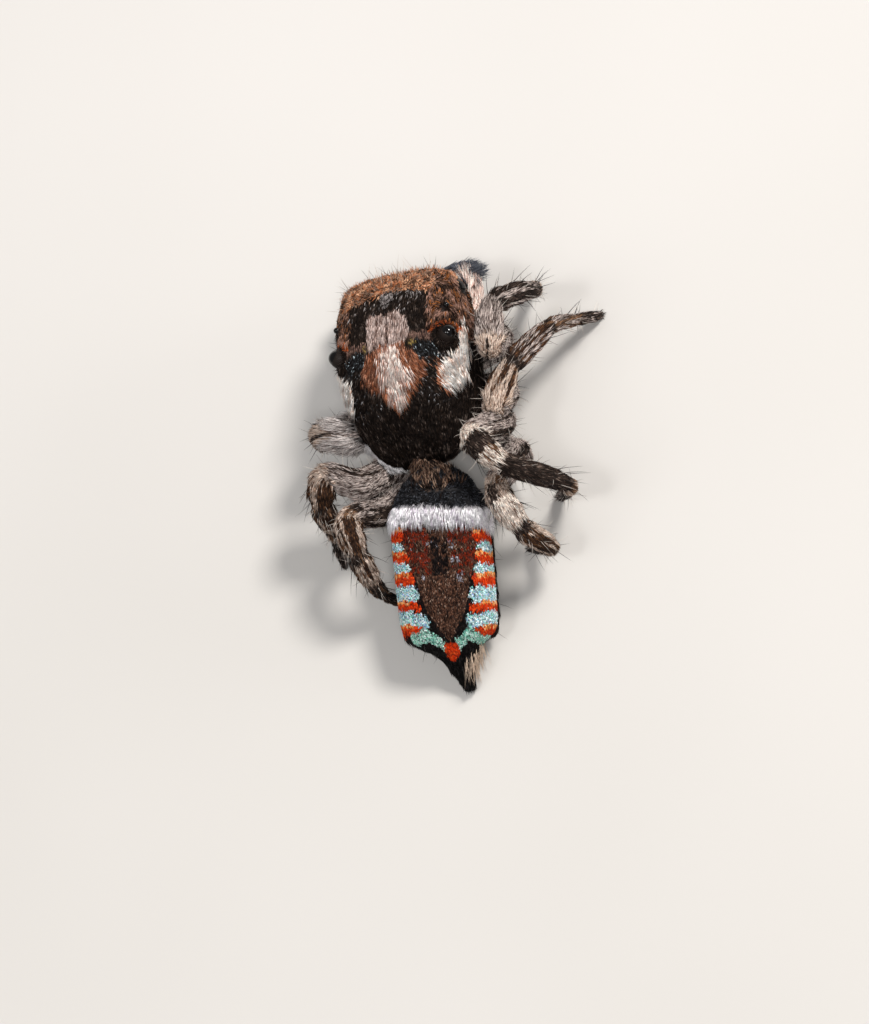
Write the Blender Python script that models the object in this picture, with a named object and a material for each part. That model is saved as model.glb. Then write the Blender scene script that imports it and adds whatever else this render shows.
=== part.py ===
"""Peacock spider, a still life-size model on its eight feet. Metres, +Z up, head towards -Y.

Shapes are written in millimetres in three frames: the standing frame (right, forward, height above
the floor), and one for the front body and one for the abdomen, both with their origin at the waist.
"""
import math

import bmesh
import bpy
from mathutils import Matrix, Vector

MM = 0.001
GAP = 0.02                      # clear space between neighbouring solids
COAT = 0.045                    # depth of the hair and scales over the bare body
FOOTPRINT_CENTRE = (0.166, 0.022)     # right and forward place of the middle of the whole box

# The waist, where the two body frames start, and how each body is turned there (degrees).
WAIST_HEIGHT = 0.85
WAIST_RADIUS = 0.15
WAIST_REACH = 0.30              # how far the waist's axis runs into each body
FRONT_YAW, FRONT_PITCH, FRONT_ROLL = 0.5, -11.0, -8.5
FRONT_ASIDE = -0.12             # how far the front body's middle lies to the right of the abdomen's
ABDOMEN_YAW, ABDOMEN_PITCH, ABDOMEN_ROLL = -2.2, 15.4, 8.6

# Front body: forward place, half width, top, margin level, underside, and how boxy the top is.
FRONT_STATIONS = (
    (0.10, 0.39, 0.20, 0.03, -0.12, 2.2),
    (0.20, 0.51, 0.37, 0.04, -0.21, 2.2),
    (0.45, 0.67, 0.68, 0.07, -0.28, 2.4),
    (0.80, 0.77, 0.91, 0.12, -0.32, 2.9),
    (1.15, 0.78, 0.98, 0.20, -0.33, 3.4),
    (1.50, 0.75, 1.00, 0.30, -0.30, 3.5),
    (1.80, 0.71, 0.96, 0.36, -0.16, 3.5),
    (1.98, 0.67, 0.87, 0.40, 0.04, 3.3),
    (2.07, 0.55, 0.75, 0.42, 0.18, 3.0),
)
FRONT_LOW_POWER = 1.5           # flanks drawn in to the breastplate

# Abdomen: backward place, then the same measures.
ABDOMEN_STATIONS = (
    (0.07, 0.24, 0.22, 0.06, -0.10, 2.2),
    (0.14, 0.34, 0.31, 0.05, -0.20, 2.3),
    (0.32, 0.45, 0.38, 0.03, -0.32, 2.7),
    (0.52, 0.54, 0.42, 0.02, -0.39, 3.2),
    (0.80, 0.55, 0.42, 0.02, -0.42, 3.4),
    (1.30, 0.55, 0.41, 0.00, -0.39, 3.4),
    (1.72, 0.54, 0.37, -0.02, -0.28, 3.4),
    (1.88, 0.49, 0.32, -0.02, -0.24, 3.0),
    (1.99, 0.33, 0.24, -0.03, -0.20, 2.6),
    (2.12, 0.20, 0.14, -0.05, -0.17, 2.1),
)
ABDOMEN_LOW_POWER = 2.0
SPINNERET_STATIONS = (
    (2.16, 0.17, 0.09, -0.05, -0.16, 2.0),
    (2.28, 0.12, 0.03, -0.06, -0.14, 2.0),
    (2.41, 0.07, -0.03, -0.08, -0.12, 2.0),
)
TAIL_START = 1.95               # where the end of the abdomen starts to lean to the right
TAIL_SWING = 0.35               # how fast it does, per millimetre squared
TAIL_ASIDE = 0.05               # how far the tail's root is set to the right
TAIL_ROOT = 0.17                # length over which it is set aside

# Eyes in the front body's frame: name, right, forward, up, radius.
EYES = (
    ("front_middle", 0.245, 1.960, 0.460, 0.235),
    ("front_side", 0.620, 1.900, 0.480, 0.108),
    ("rear_middle", 0.680, 1.500, 0.860, 0.035),
    ("rear_side", 0.690, 1.160, 0.840, 0.090),
)

# Mouthparts in the front body's frame: path points and the radius at each.
CHELICERA = (
    (0.19, 1.84, 0.26, 0.16),
    (0.19, 1.94, 0.06, 0.18),
    (0.18, 1.98, -0.12, 0.16),
    (0.15, 1.95, -0.29, 0.09),
)
PALP = (
    (0.40, 1.62, 0.02, 0.12),
    (0.63, 1.78, 0.14, 0.15),
    (0.68, 2.00, 0.25, 0.15),
    (0.60, 2.19, 0.26, 0.15),
    (0.36, 2.28, 0.16, 0.13),
    (0.17, 2.31, 0.09, 0.08),
)

# Legs in the standing frame: base, trochanter, mid thigh, knee, end of patella, end of tibia,
# mid foot and tip, each as right, forward and height.
LEG_JOINTS = {
    "right_1": ((0.30, 1.30, 0.42), (0.64, 1.40, 0.46), (0.82, 1.36, 0.98), (0.88, 1.13, 1.46),
                (0.95, 1.61, 1.45), (1.29, 1.82, 1.10), (1.14, 2.02, 0.50), (1.00, 2.12, 0.16)),
    "right_2": ((0.32, 1.00, 0.46), (0.66, 0.98, 0.48), (0.82, 0.74, 0.84), (0.81, 0.55, 1.15),
                (0.99, 0.98, 1.08), (1.39, 1.44, 0.84), (1.57, 1.61, 0.46), (1.70, 1.72, 0.16)),
    "right_3": ((0.32, 0.70, 0.50), (0.64, 0.58, 0.52), (0.77, 0.36, 0.96), (0.60, 0.14, 1.40),
                (0.92, -0.20, 1.36), (1.50, -0.41, 0.92), (1.40, -0.37, 0.48), (1.24, -0.30, 0.16)),
    "right_4": ((0.28, 0.42, 0.54), (0.64, 0.22, 0.46), (0.88, 0.06, 0.66), (0.73, -0.38, 1.00),
                (0.98, -0.85, 0.98), (1.20, -1.01, 0.62), (1.06, -0.95, 0.36), (0.90, -0.87, 0.16)),
    "left_1": ((-0.26, 1.30, 0.36), (-0.58, 1.32, 0.34), (-0.82, 1.43, 0.42), (-0.97, 1.58, 0.50),
               (-1.05, 1.77, 0.36), (-1.04, 1.97, 0.25), (-0.97, 2.11, 0.24), (-0.88, 2.23, 0.16)),
    "left_2": ((-0.28, 0.98, 0.40), (-0.66, 0.74, 0.44), (-0.98, 0.56, 0.76), (-1.22, 0.53, 0.98),
               (-1.34, 0.58, 0.70), (-1.36, 0.64, 0.42), (-1.30, 0.76, 0.27), (-1.22, 0.88, 0.16)),
    "left_3": ((-0.28, 0.54, 0.46), (-0.58, 0.22, 0.50), (-0.88, -0.06, 0.86), (-1.24, 0.04, 1.02),
               (-1.33, -0.27, 0.90), (-1.33, -0.42, 0.52), (-1.35, -0.53, 0.30), (-1.36, -0.62, 0.16)),
    "left_4": ((-0.26, 0.36, 0.42), (-0.50, 0.04, 0.38), (-0.74, -0.28, 0.50), (-1.02, -0.48, 0.93),
               (-0.93, -0.90, 0.93), (-0.86, -1.16, 0.64), (-0.83, -1.22, 0.36), (-0.77, -1.23, 0.16)),
}
LEG_PIECES = (("thigh", 0, 3), ("shin", 3, 5), ("foot", 5, 7))
LEG_RADII = (0.13, 0.17, 0.215, 0.200, 0.205, 0.200, 0.200, 0.200)

BODY_SIDES = 24
LEG_SIDES = 10
PALP_SIDES = 10
STEPS_PER_SPAN = 3
EYE_SIDES = 10
EYE_RINGS = 7


def clear_scene():
    for item in list(bpy.data.objects):
        bpy.data.objects.remove(item, do_unlink=True)


def make_material(name, colour, roughness, metallic=0.0):
    material = bpy.data.materials.new(name)
    material.use_nodes = True
    shader = material.node_tree.nodes["Principled BSDF"]
    shader.inputs["Base Color"].default_value = (*colour, 1.0)
    shader.inputs["Roughness"].default_value = roughness
    shader.inputs["Metallic"].default_value = metallic
    return material


def standing_point(right, forward, height):
    """A point of the standing frame in world metres."""
    return Vector((FOOTPRINT_CENTRE[0] - right, FOOTPRINT_CENTRE[1] - forward, height)) * MM


def body_frame(yaw, pitch, roll, aside=0.0):
    """A body's frame at the waist: right, forward and up in millimetres to the standing frame."""
    turn = Matrix.Rotation(math.radians(yaw), 4, "Z")
    turn = turn @ Matrix.Rotation(math.radians(pitch), 4, "X")
    turn = turn @ Matrix.Rotation(math.radians(roll), 4, "Y")
    return Matrix.Translation((aside, 0.0, WAIST_HEIGHT)) @ turn


FRONT = body_frame(FRONT_YAW, FRONT_PITCH, FRONT_ROLL, FRONT_ASIDE)
ABDOMEN = body_frame(ABDOMEN_YAW, ABDOMEN_PITCH, ABDOMEN_ROLL)


def in_body(frame, right, forward, up):
    """A point of a body's frame in world metres."""
    return standing_point(*(frame @ Vector((right, forward, up))))


def through(rows, place):
    """The row at a place counted in spans, on a smooth curve through the rows."""
    last = len(rows) - 1
    span = min(int(place), last - 1)
    t = place - span
    before, start, end, after = (rows[min(max(span + k, 0), last)] for k in (-1, 0, 1, 2))
    values = []
    for a, b, c, d in zip(before, start, end, after):
        bend = (2 * a - 5 * b + 4 * c - d) * t * t + (3 * b - a - 3 * c + d) * t ** 3
        values.append(b + 0.5 * ((c - a) * t + bend))
    return values


def tail_swing(place):
    """How far the middle line of the abdomen lies to the right."""
    beyond = max(0.0, place - TAIL_START)
    share = min(beyond / TAIL_ROOT, 1.0)
    return TAIL_SWING * beyond ** 2 + TAIL_ASIDE * share * share * (3.0 - 2.0 * share)


def body_rings(frame, stations, sign, low_power, depth, steps=2):
    """Cross-sections of a body: rounded boxes with their widest line at the margin."""
    rings = []
    spans = len(stations) - 1
    for step in range(spans * steps + 1):
        place, width, top, margin, under, top_power = through(stations, step / steps)
        swing = tail_swing(place) if sign < 0 else 0.0
        end = -depth if step == 0 else depth if step == spans * steps else 0.0
        ring = []
        for side in range(BODY_SIDES):
            angle = math.tau * side / BODY_SIDES
            upper = math.sin(angle) >= 0
            power = 2.0 / (top_power if upper else low_power)
            across = math.copysign(abs(math.cos(angle)) ** power, math.cos(angle))
            rise = abs(math.sin(angle)) ** power * ((top if upper else under) - margin)
            rise += math.copysign(depth, rise) * abs(math.sin(angle))
            right = swing + (width + depth) * across
            ring.append(in_body(frame, right, sign * (place + end), margin + rise))
        rings.append(ring)
    return rings


def tube_rings(points, radii, sides, steps, first_plane=None, last_plane=None):
    """Round cross-sections along a smooth path, square to it."""
    rows = [(*point, radius) for point, radius in zip(points, radii)]
    count = (len(rows) - 1) * steps
    samples = [through(rows, step / steps) for step in range(count + 1)]
    centres = [Vector(sample[:3]) for sample in samples]
    rings = []
    across = Vector((0, 0, 1))
    for step, (centre, sample) in enumerate(zip(centres, samples)):
        along = centres[min(step + 1, count)] - centres[max(step - 1, 0)]
        if step == 0 and first_plane is not None:
            along = first_plane
        if step == count and last_plane is not None:
            along = last_plane
        along = along.normalized()
        side_way = (across - along * across.dot(along)).normalized()
        across = side_way
        up_way = along.cross(side_way)
        ring = []
        for side in range(sides):
            angle = math.tau * side / sides
            ring.append(centre + (side_way * math.cos(angle) + up_way * math.sin(angle)) * sample[3])
        rings.append(ring)
    return rings


def round_tip(rings, radius_share=(0.86, 0.5), reach=(0.45, 0.8)):
    """Adds narrowing cross-sections past the last one, as a rounded end."""
    last = rings[-1]
    centre = sum(last, Vector()) / len(last)
    radius = (last[0] - centre).length
    before = sum(rings[-2], Vector()) / len(last)
    along = (centre - before).normalized()
    for share, far in zip(radius_share, reach):
        rings.append([centre + (point - centre) * share + along * radius * far for point in last])
    return rings


def loft(name, rings, collection, material=None):
    """A closed solid through cross-sections of equal count, with flat ends."""
    shape = bmesh.new()
    rows = [[shape.verts.new(point) for point in ring] for ring in rings]
    for low, high in zip(rows, rows[1:]):
        for side in range(len(low)):
            after = (side + 1) % len(low)
            shape.faces.new((low[side], low[after], high[after], high[side]))
    shape.faces.new(rows[0])
    shape.faces.new(rows[-1])
    bmesh.ops.recalc_face_normals(shape, faces=shape.faces)
    return finish_mesh(name, shape, collection, material)


def finish_mesh(name, shape, collection, material):
    mesh = bpy.data.meshes.new(name)
    shape.to_mesh(mesh)
    shape.free()
    mesh.shade_smooth()
    item = bpy.data.objects.new(name, mesh)
    collection.objects.link(item)
    if material:
        mesh.materials.append(material)
    return item


def ball(name, centre, radius, collection, material=None):
    shape = bmesh.new()
    bmesh.ops.create_uvsphere(shape, u_segments=EYE_SIDES, v_segments=EYE_RINGS, radius=radius)
    item = finish_mesh(name, shape, collection, material)
    item.location = centre
    return item


def hide_cutter(item):
    item.hide_render = True
    item.display_type = "WIRE"
    return item


def cut(item, cutter):
    modifier = item.modifiers.new("cut by " + cutter.name, "BOOLEAN")
    modifier.operation = "DIFFERENCE"
    modifier.solver = "EXACT"
    modifier.object = cutter


def flatten_sole(item):
    """Cuts the mesh at floor level and closes it with a flat."""
    shape = bmesh.new()
    shape.from_mesh(item.data)
    everything = list(shape.verts) + list(shape.edges) + list(shape.faces)
    bmesh.ops.bisect_plane(shape, geom=everything, dist=1e-9, plane_co=(0, 0, 0), plane_no=(0, 0, -1),
                           clear_outer=True)
    edges = [edge for edge in shape.edges if edge.is_boundary]
    bmesh.ops.contextual_create(shape, geom=edges)
    bmesh.ops.recalc_face_normals(shape, faces=shape.faces)
    shape.to_mesh(item.data)
    shape.free()


def build_front_body(parts, cutters, materials):
    rings = body_rings(FRONT, FRONT_STATIONS, 1, FRONT_LOW_POWER, COAT)
    front = loft("cephalothorax", rings, parts, materials["front"])
    rings = body_rings(FRONT, FRONT_STATIONS, 1, FRONT_LOW_POWER, COAT + GAP)
    clearance = hide_cutter(loft("front_clearance", rings, cutters))
    for name, right, forward, up, radius in EYES:
        for side, sign in (("right", 1), ("left", -1)):
            centre = in_body(FRONT, sign * right, forward, up)
            ball(f"eye_{name}_{side}", centre, radius * MM, parts, materials["eye"])
            socket = ball(f"socket_{name}_{side}", centre, (radius + GAP / 2) * MM, cutters)
            cut(front, hide_cutter(socket))
    return clearance


def build_abdomen(parts, cutters, materials):
    rings = body_rings(ABDOMEN, ABDOMEN_STATIONS, -1, ABDOMEN_LOW_POWER, COAT)
    loft("abdomen", rings, parts, materials["abdomen"])
    rings = body_rings(ABDOMEN, ABDOMEN_STATIONS, -1, ABDOMEN_LOW_POWER, COAT + GAP)
    clearance = hide_cutter(loft("abdomen_clearance", rings, cutters))
    rings = body_rings(ABDOMEN, SPINNERET_STATIONS, -1, ABDOMEN_LOW_POWER, COAT)
    cut(loft("spinnerets", rings, parts, materials["front"]), clearance)
    return clearance


def build_waist(parts, cutters, materials, front_clearance, abdomen_clearance):
    points = [in_body(FRONT, 0, WAIST_REACH, 0), in_body(FRONT, 0, 0, 0), in_body(ABDOMEN, 0, -WAIST_REACH, 0)]
    radii = (WAIST_RADIUS * MM,) * len(points)
    waist = loft("pedicel", tube_rings(points, radii, PALP_SIDES, 2), parts, materials["front"])
    cut(waist, front_clearance)
    cut(waist, abdomen_clearance)


def build_mouthparts(parts, materials, front_clearance):
    for side, sign in (("right", 1), ("left", -1)):
        for name, path in (("chelicera", CHELICERA), ("pedipalp", PALP)):
            points = [in_body(FRONT, sign * right, forward, up) for right, forward, up, radius in path]
            radii = [row[3] * MM for row in path]
            rings = round_tip(tube_rings(points, radii, PALP_SIDES, 2))
            piece = loft(f"{name}_{side}", rings, parts, materials["limb"])
            cut(piece, front_clearance)


def build_legs(parts, cutters, materials, body_clearances):
    """Each piece gives way to the body, to the leg in front and to the piece before it."""
    leg_in_front = []
    for leg, joints in LEG_JOINTS.items():
        if leg.endswith("_1"):
            leg_in_front = []
        points = [standing_point(*joint) for joint in joints]
        own = []
        for piece, first, last in LEG_PIECES:
            item = build_leg_piece(f"leg_{leg}_{piece}", points, first, last, 0.0, parts, materials["limb"])
            for clearance in (*body_clearances, *leg_in_front, *own[-1:]):
                cut(item, clearance)
            wider = build_leg_piece(f"clearance_{leg}_{piece}", points, first, last, GAP, cutters)
            own.append(hide_cutter(wider))
        leg_in_front = own


def joint_plane(points, joint):
    """The way across a joint, shared by the two pieces that meet there."""
    if joint in (0, len(points) - 1):
        return None
    before = (points[joint] - points[joint - 1]).normalized()
    after = (points[joint + 1] - points[joint]).normalized()
    return (before + after).normalized()


def build_leg_piece(name, points, first, last, depth, collection, material=None):
    start_plane = joint_plane(points, first)
    end_plane = joint_plane(points, last)
    path = [point.copy() for point in points[first:last + 1]]
    if start_plane:
        path[0] += start_plane * GAP / 2 * MM
    if end_plane:
        path[-1] -= end_plane * GAP / 2 * MM
    radii = [(radius + depth) * MM for radius in LEG_RADII[first:last + 1]]
    rings = tube_rings(path, radii, LEG_SIDES, STEPS_PER_SPAN, start_plane, end_plane)
    if last == len(points) - 1:
        rings = round_tip(rings)
    item = loft(name, rings, collection, material)
    if last == len(points) - 1:
        flatten_sole(item)
    return item


def main():
    clear_scene()
    parts = bpy.data.collections.new("peacock_spider")
    cutters = bpy.data.collections.new("cutters")
    for collection in (parts, cutters):
        bpy.context.scene.collection.children.link(collection)
    materials = {
        "front": make_material("dark_body", (0.02, 0.015, 0.012), 0.6),
        "abdomen": make_material("brown_plate", (0.08, 0.04, 0.03), 0.6),
        "limb": make_material("grey_brown_limb", (0.30, 0.24, 0.19), 0.7),
        "eye": make_material("glossy_eye", (0.005, 0.004, 0.004), 0.08),
    }
    front_clearance = build_front_body(parts, cutters, materials)
    abdomen_clearance = build_abdomen(parts, cutters, materials)
    build_waist(parts, cutters, materials, front_clearance, abdomen_clearance)
    build_mouthparts(parts, materials, front_clearance)
    build_legs(parts, cutters, materials, (front_clearance, abdomen_clearance))


main()
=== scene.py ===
"""Looks of the peacock spider: one skin, its coat of hairs and scales, eyes, bristles and claws.

Shapes are worked out in millimetres and become metres when a mesh is made. The frames are those of
the solids: the standing frame (right, forward, height over the floor), and one for the front body
and one for the abdomen, both with their origin at the waist.
"""
import math
from collections import namedtuple

import bmesh
import bpy
import numpy as np
from mathutils import Matrix, Vector
from mathutils.bvhtree import BVHTree
from mathutils.kdtree import KDTree


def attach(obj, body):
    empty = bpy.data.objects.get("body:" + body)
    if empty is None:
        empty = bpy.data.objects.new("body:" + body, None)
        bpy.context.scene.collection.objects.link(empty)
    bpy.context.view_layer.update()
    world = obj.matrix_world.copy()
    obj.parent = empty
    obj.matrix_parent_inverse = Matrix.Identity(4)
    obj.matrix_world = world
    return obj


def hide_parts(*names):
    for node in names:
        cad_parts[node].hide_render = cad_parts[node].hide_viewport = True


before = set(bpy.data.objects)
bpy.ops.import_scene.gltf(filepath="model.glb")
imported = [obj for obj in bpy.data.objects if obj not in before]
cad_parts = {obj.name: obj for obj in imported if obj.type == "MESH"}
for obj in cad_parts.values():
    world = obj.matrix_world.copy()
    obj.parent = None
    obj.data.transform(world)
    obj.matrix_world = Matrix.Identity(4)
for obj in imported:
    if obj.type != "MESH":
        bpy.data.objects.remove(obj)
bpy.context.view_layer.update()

MM = 0.001
BODY = "root"
SEED = 7

# ---- frames

FOOTPRINT_CENTRE = np.array((0.166, 0.022, 0.0))
WAIST_HEIGHT = 0.85
FLIP = np.array((-1.0, -1.0, 1.0))      # the model faces the other way in the world
Body = namedtuple("Body", "turn origin")


def body_frame(yaw, pitch, roll, aside=0.0):
    """How a body is turned and where it starts in the standing frame."""
    turn = Matrix.Rotation(math.radians(yaw), 3, "Z")
    turn = turn @ Matrix.Rotation(math.radians(pitch), 3, "X")
    turn = turn @ Matrix.Rotation(math.radians(roll), 3, "Y")
    return Body(np.array(turn), np.array((aside, 0.0, WAIST_HEIGHT)))


FRONT = body_frame(0.5, -11.0, -8.5, -0.12)
ABDOMEN = body_frame(-2.2, 15.4, 8.6)


def standing_to_world(points):
    return FOOTPRINT_CENTRE + np.asarray(points, float) * FLIP


def to_world(body, points):
    return standing_to_world(np.asarray(points, float) @ body.turn.T + body.origin)


def to_body(body, points):
    return ((points - FOOTPRINT_CENTRE) * FLIP - body.origin) @ body.turn


def way_to_world(body, ways):
    return (np.asarray(ways, float) @ body.turn.T) * FLIP


# ---- sizes, as in the solids

# Forward place, half width, top, margin level, underside, and how boxy the top is.
FRONT_STATIONS = (
    (0.10, 0.39, 0.20, 0.03, -0.12, 2.2),
    (0.20, 0.51, 0.37, 0.04, -0.21, 2.2),
    (0.45, 0.67, 0.68, 0.07, -0.28, 2.4),
    (0.80, 0.77, 0.91, 0.12, -0.32, 2.9),
    (1.15, 0.78, 0.98, 0.20, -0.33, 3.4),
    (1.50, 0.75, 1.00, 0.30, -0.30, 3.5),
    (1.80, 0.71, 0.96, 0.36, -0.16, 3.5),
    (1.98, 0.67, 0.87, 0.40, 0.04, 3.3),
    (2.07, 0.55, 0.75, 0.42, 0.18, 3.0),
)
FRONT_LOW_POWER = 1.5
ABDOMEN_STATIONS = (
    (0.07, 0.24, 0.22, 0.06, -0.10, 2.2),
    (0.14, 0.34, 0.31, 0.05, -0.20, 2.3),
    (0.32, 0.45, 0.38, 0.03, -0.32, 2.7),
    (0.52, 0.54, 0.42, 0.02, -0.39, 3.2),
    (0.80, 0.55, 0.42, 0.02, -0.42, 3.4),
    (1.30, 0.55, 0.41, 0.00, -0.39, 3.4),
    (1.72, 0.54, 0.37, -0.02, -0.28, 3.4),
    (1.88, 0.49, 0.32, -0.02, -0.24, 3.0),
    (1.99, 0.33, 0.24, -0.03, -0.20, 2.6),
    (2.12, 0.20, 0.14, -0.05, -0.17, 2.1),
    (2.28, 0.12, 0.03, -0.06, -0.14, 2.0),
    (2.41, 0.07, -0.03, -0.08, -0.12, 2.0),
)
ABDOMEN_LOW_POWER = 2.0
TAIL_START = 1.95
TAIL_SWING = 0.35
TAIL_ASIDE = 0.05
TAIL_ROOT = 0.17
EYES = {
    "front_middle": (0.245, 1.960, 0.460, 0.235),
    "front_side": (0.620, 1.900, 0.480, 0.108),
    "rear_middle": (0.680, 1.500, 0.860, 0.035),
    "rear_side": (0.690, 1.160, 0.840, 0.090),
}
SIDES = {"right": 1, "left": -1}

# Right, forward, up and the bare radius, in the front body's frame.
CHELICERA = (
    (0.19, 1.84, 0.26, 0.11),
    (0.19, 1.94, 0.06, 0.14),
    (0.18, 1.98, -0.12, 0.12),
    (0.15, 1.95, -0.29, 0.06),
)
PALP = (
    (0.40, 1.62, 0.02, 0.08),
    (0.63, 1.78, 0.14, 0.10),
    (0.68, 2.00, 0.25, 0.10),
    (0.60, 2.19, 0.26, 0.11),
    (0.36, 2.28, 0.16, 0.09),
    (0.17, 2.31, 0.09, 0.05),
)

# Legs in the standing frame: base, trochanter, mid thigh, knee, end of patella, end of tibia,
# mid foot and the middle of the tarsus.
LEG_JOINTS = {
    "right_1": ((0.30, 1.30, 0.42), (0.64, 1.40, 0.46), (0.82, 1.36, 0.98), (0.88, 1.13, 1.46),
                (0.95, 1.61, 1.45), (1.29, 1.82, 1.10), (1.14, 2.02, 0.50), (1.00, 2.12, 0.16)),
    "right_2": ((0.32, 1.00, 0.46), (0.66, 0.98, 0.48), (0.82, 0.74, 0.84), (0.81, 0.55, 1.15),
                (0.99, 0.98, 1.08), (1.39, 1.44, 0.84), (1.57, 1.61, 0.46), (1.70, 1.72, 0.16)),
    "right_3": ((0.32, 0.70, 0.50), (0.64, 0.58, 0.52), (0.77, 0.36, 0.96), (0.60, 0.14, 1.40),
                (0.92, -0.20, 1.36), (1.50, -0.41, 0.92), (1.40, -0.37, 0.48), (1.24, -0.30, 0.16)),
    "right_4": ((0.28, 0.42, 0.54), (0.64, 0.22, 0.46), (0.88, 0.06, 0.66), (0.73, -0.38, 1.00),
                (0.98, -0.85, 0.98), (1.20, -1.01, 0.62), (1.06, -0.95, 0.36), (0.90, -0.87, 0.16)),
    "left_1": ((-0.26, 1.30, 0.36), (-0.58, 1.32, 0.34), (-0.82, 1.43, 0.42), (-0.97, 1.58, 0.50),
               (-1.05, 1.77, 0.36), (-1.04, 1.97, 0.25), (-0.97, 2.11, 0.24), (-0.88, 2.23, 0.16)),
    "left_2": ((-0.28, 0.98, 0.40), (-0.66, 0.74, 0.44), (-0.98, 0.56, 0.76), (-1.22, 0.53, 0.98),
               (-1.34, 0.58, 0.70), (-1.36, 0.64, 0.42), (-1.30, 0.76, 0.27), (-1.22, 0.88, 0.16)),
    "left_3": ((-0.28, 0.54, 0.46), (-0.58, 0.22, 0.50), (-0.88, -0.06, 0.86), (-1.24, 0.04, 1.02),
               (-1.33, -0.27, 0.90), (-1.33, -0.42, 0.52), (-1.35, -0.53, 0.30), (-1.36, -0.62, 0.16)),
    "left_4": ((-0.26, 0.36, 0.42), (-0.50, 0.04, 0.38), (-0.74, -0.28, 0.50), (-1.02, -0.48, 0.93),
               (-0.93, -0.90, 0.93), (-0.86, -1.16, 0.64), (-0.83, -1.22, 0.36), (-0.77, -1.23, 0.16)),
}
SOLE_HEIGHT = 0.05              # middle of the tarsus tip over the floor
# Bare radius of a leg by its place along the joints above, counted in spans.
LEG_PROFILE = (
    (0.0, 0.13), (0.8, 0.13), (1.0, 0.11), (1.3, 0.155), (2.0, 0.17), (2.7, 0.14), (3.0, 0.115),
    (3.2, 0.145), (3.6, 0.148), (3.97, 0.105), (4.2, 0.125), (4.6, 0.12), (4.97, 0.085), (5.15, 0.088),
    (5.9, 0.064), (6.02, 0.05), (6.3, 0.06), (7.0, 0.054), (8.0, 0.036),
)

# ---- numbers


def linear(colour):
    """A screen colour, 0 to 255, as linear light."""
    value = np.asarray(colour, float) / 255.0
    return np.where(value <= 0.04045, value / 12.92, ((value + 0.055) / 1.055) ** 2.4)


def unit(ways):
    return ways / np.maximum(np.linalg.norm(ways, axis=-1, keepdims=True), 1e-12)


def smooth(value, low, high):
    """0 up to low, 1 from high, with a soft rise between."""
    t = np.clip((value - low) / (high - low), 0.0, 1.0)
    return t * t * (3.0 - 2.0 * t)


def noise(points, cell_size, seed=0):
    """Smooth random values, 0 to 1, that change over this length."""
    places = np.asarray(points, float) / cell_size + 1000.0
    cell = np.floor(places).astype(np.int64)
    t = places - cell
    t = t * t * (3.0 - 2.0 * t)
    total = np.zeros(len(places))
    # The large numbers only scramble a cell's place into a random one.
    for corner in np.ndindex(2, 2, 2):
        x, y, z = (cell + corner).T
        mixed = (x * 73856093) ^ (y * 19349663) ^ (z * 83492791) ^ (seed * 2654435761 + 12345)
        mixed = ((mixed & 0x7FFFFFFF) * 1103515245 + 12345) & 0x7FFFFFFF
        mixed = ((mixed ^ (mixed >> 11)) * 69069 + 1) & 0x7FFFFFFF
        share = np.prod(np.where(corner, t, 1.0 - t), axis=1)
        total += share * ((mixed >> 7) & 0xFFFF) / 65535.0
    return total


def uneven(points, cell_size, seed, reach=1.0):
    """Noise about nought, as far as half this reach to either side."""
    return (noise(points, cell_size, seed) - 0.5) * reach


def distance(points, centre):
    return np.linalg.norm(points - centre, axis=1)


def through(rows, places, pull=0.5):
    """The rows at places counted in spans, on a smooth curve through them."""
    rows = np.asarray(rows, float)
    last = len(rows) - 1
    span = np.minimum(places.astype(int), last - 1)
    t = (places - span)[:, None]
    before, start, end, after = (rows[np.clip(span + k, 0, last)] for k in (-1, 0, 1, 2))
    leave, arrive = pull * (end - before), pull * (after - start)
    level = start * (2 * t**3 - 3 * t**2 + 1) + end * (3 * t**2 - 2 * t**3)
    return level + leave * (t**3 - 2 * t**2 + t) + arrive * (t**3 - t**2)


# ---- surfaces of the bare body

# Places on a surface: point, normal, way along, place along it in spans, turn round it and run, 0 to 1.
Spots = namedtuple("Spots", "points normals ways places turns runs")
Roots = namedtuple("Roots", Spots._fields + ("zones",))


def keep(rows, where):
    """The rows of a set of arrays that a mask or an index picks."""
    return rows._make(values[where] for values in rows)


class Surface:
    """A closed tube of cross-sections, with a place along it for each and a turn around it."""

    def __init__(self, name, grid, places):
        self.name = name
        self.grid = grid
        self.places = places
        steps = np.linalg.norm(np.diff(grid.mean(1), axis=0), axis=1) + 1e-3
        steps += np.abs(np.diff(np.linalg.norm(grid - grid.mean(1)[:, None], axis=2).mean(1)))
        self.run = np.concatenate([[0.0], np.cumsum(steps)]) / steps.sum()

    def scatter(self, density, rng):
        """Random spots, so many to the square millimetre."""
        low, high = self.grid[:-1], self.grid[1:]
        low_next, high_next = np.roll(low, -1, 1), np.roll(high, -1, 1)
        across = np.cross(high_next - low, high - low_next)
        area = np.linalg.norm(across, axis=2).ravel() / 2
        total = np.cumsum(area)
        count = int(total[-1] * density)
        pick = np.minimum(np.searchsorted(total, rng.uniform(0, total[-1], count)), len(area) - 1)
        sides = self.grid.shape[1]
        row, side = pick // sides, pick % sides
        a, b = rng.uniform(0, 1, (2, count))
        near = low[row, side] + (low_next[row, side] - low[row, side]) * b[:, None]
        far = high[row, side] + (high_next[row, side] - high[row, side]) * b[:, None]
        points = near + (far - near) * a[:, None]
        centre = self.grid.mean(1)[row]
        normal = unit(across[row, side])
        normal *= np.sign(((points - centre) * normal).sum(1))[:, None]
        place = self.places[row] + (self.places[row + 1] - self.places[row]) * a
        run = self.run[row] + (self.run[row + 1] - self.run[row]) * a
        return Spots(points, normal, unit(far - near), place, (side + b) / sides, run)


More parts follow.
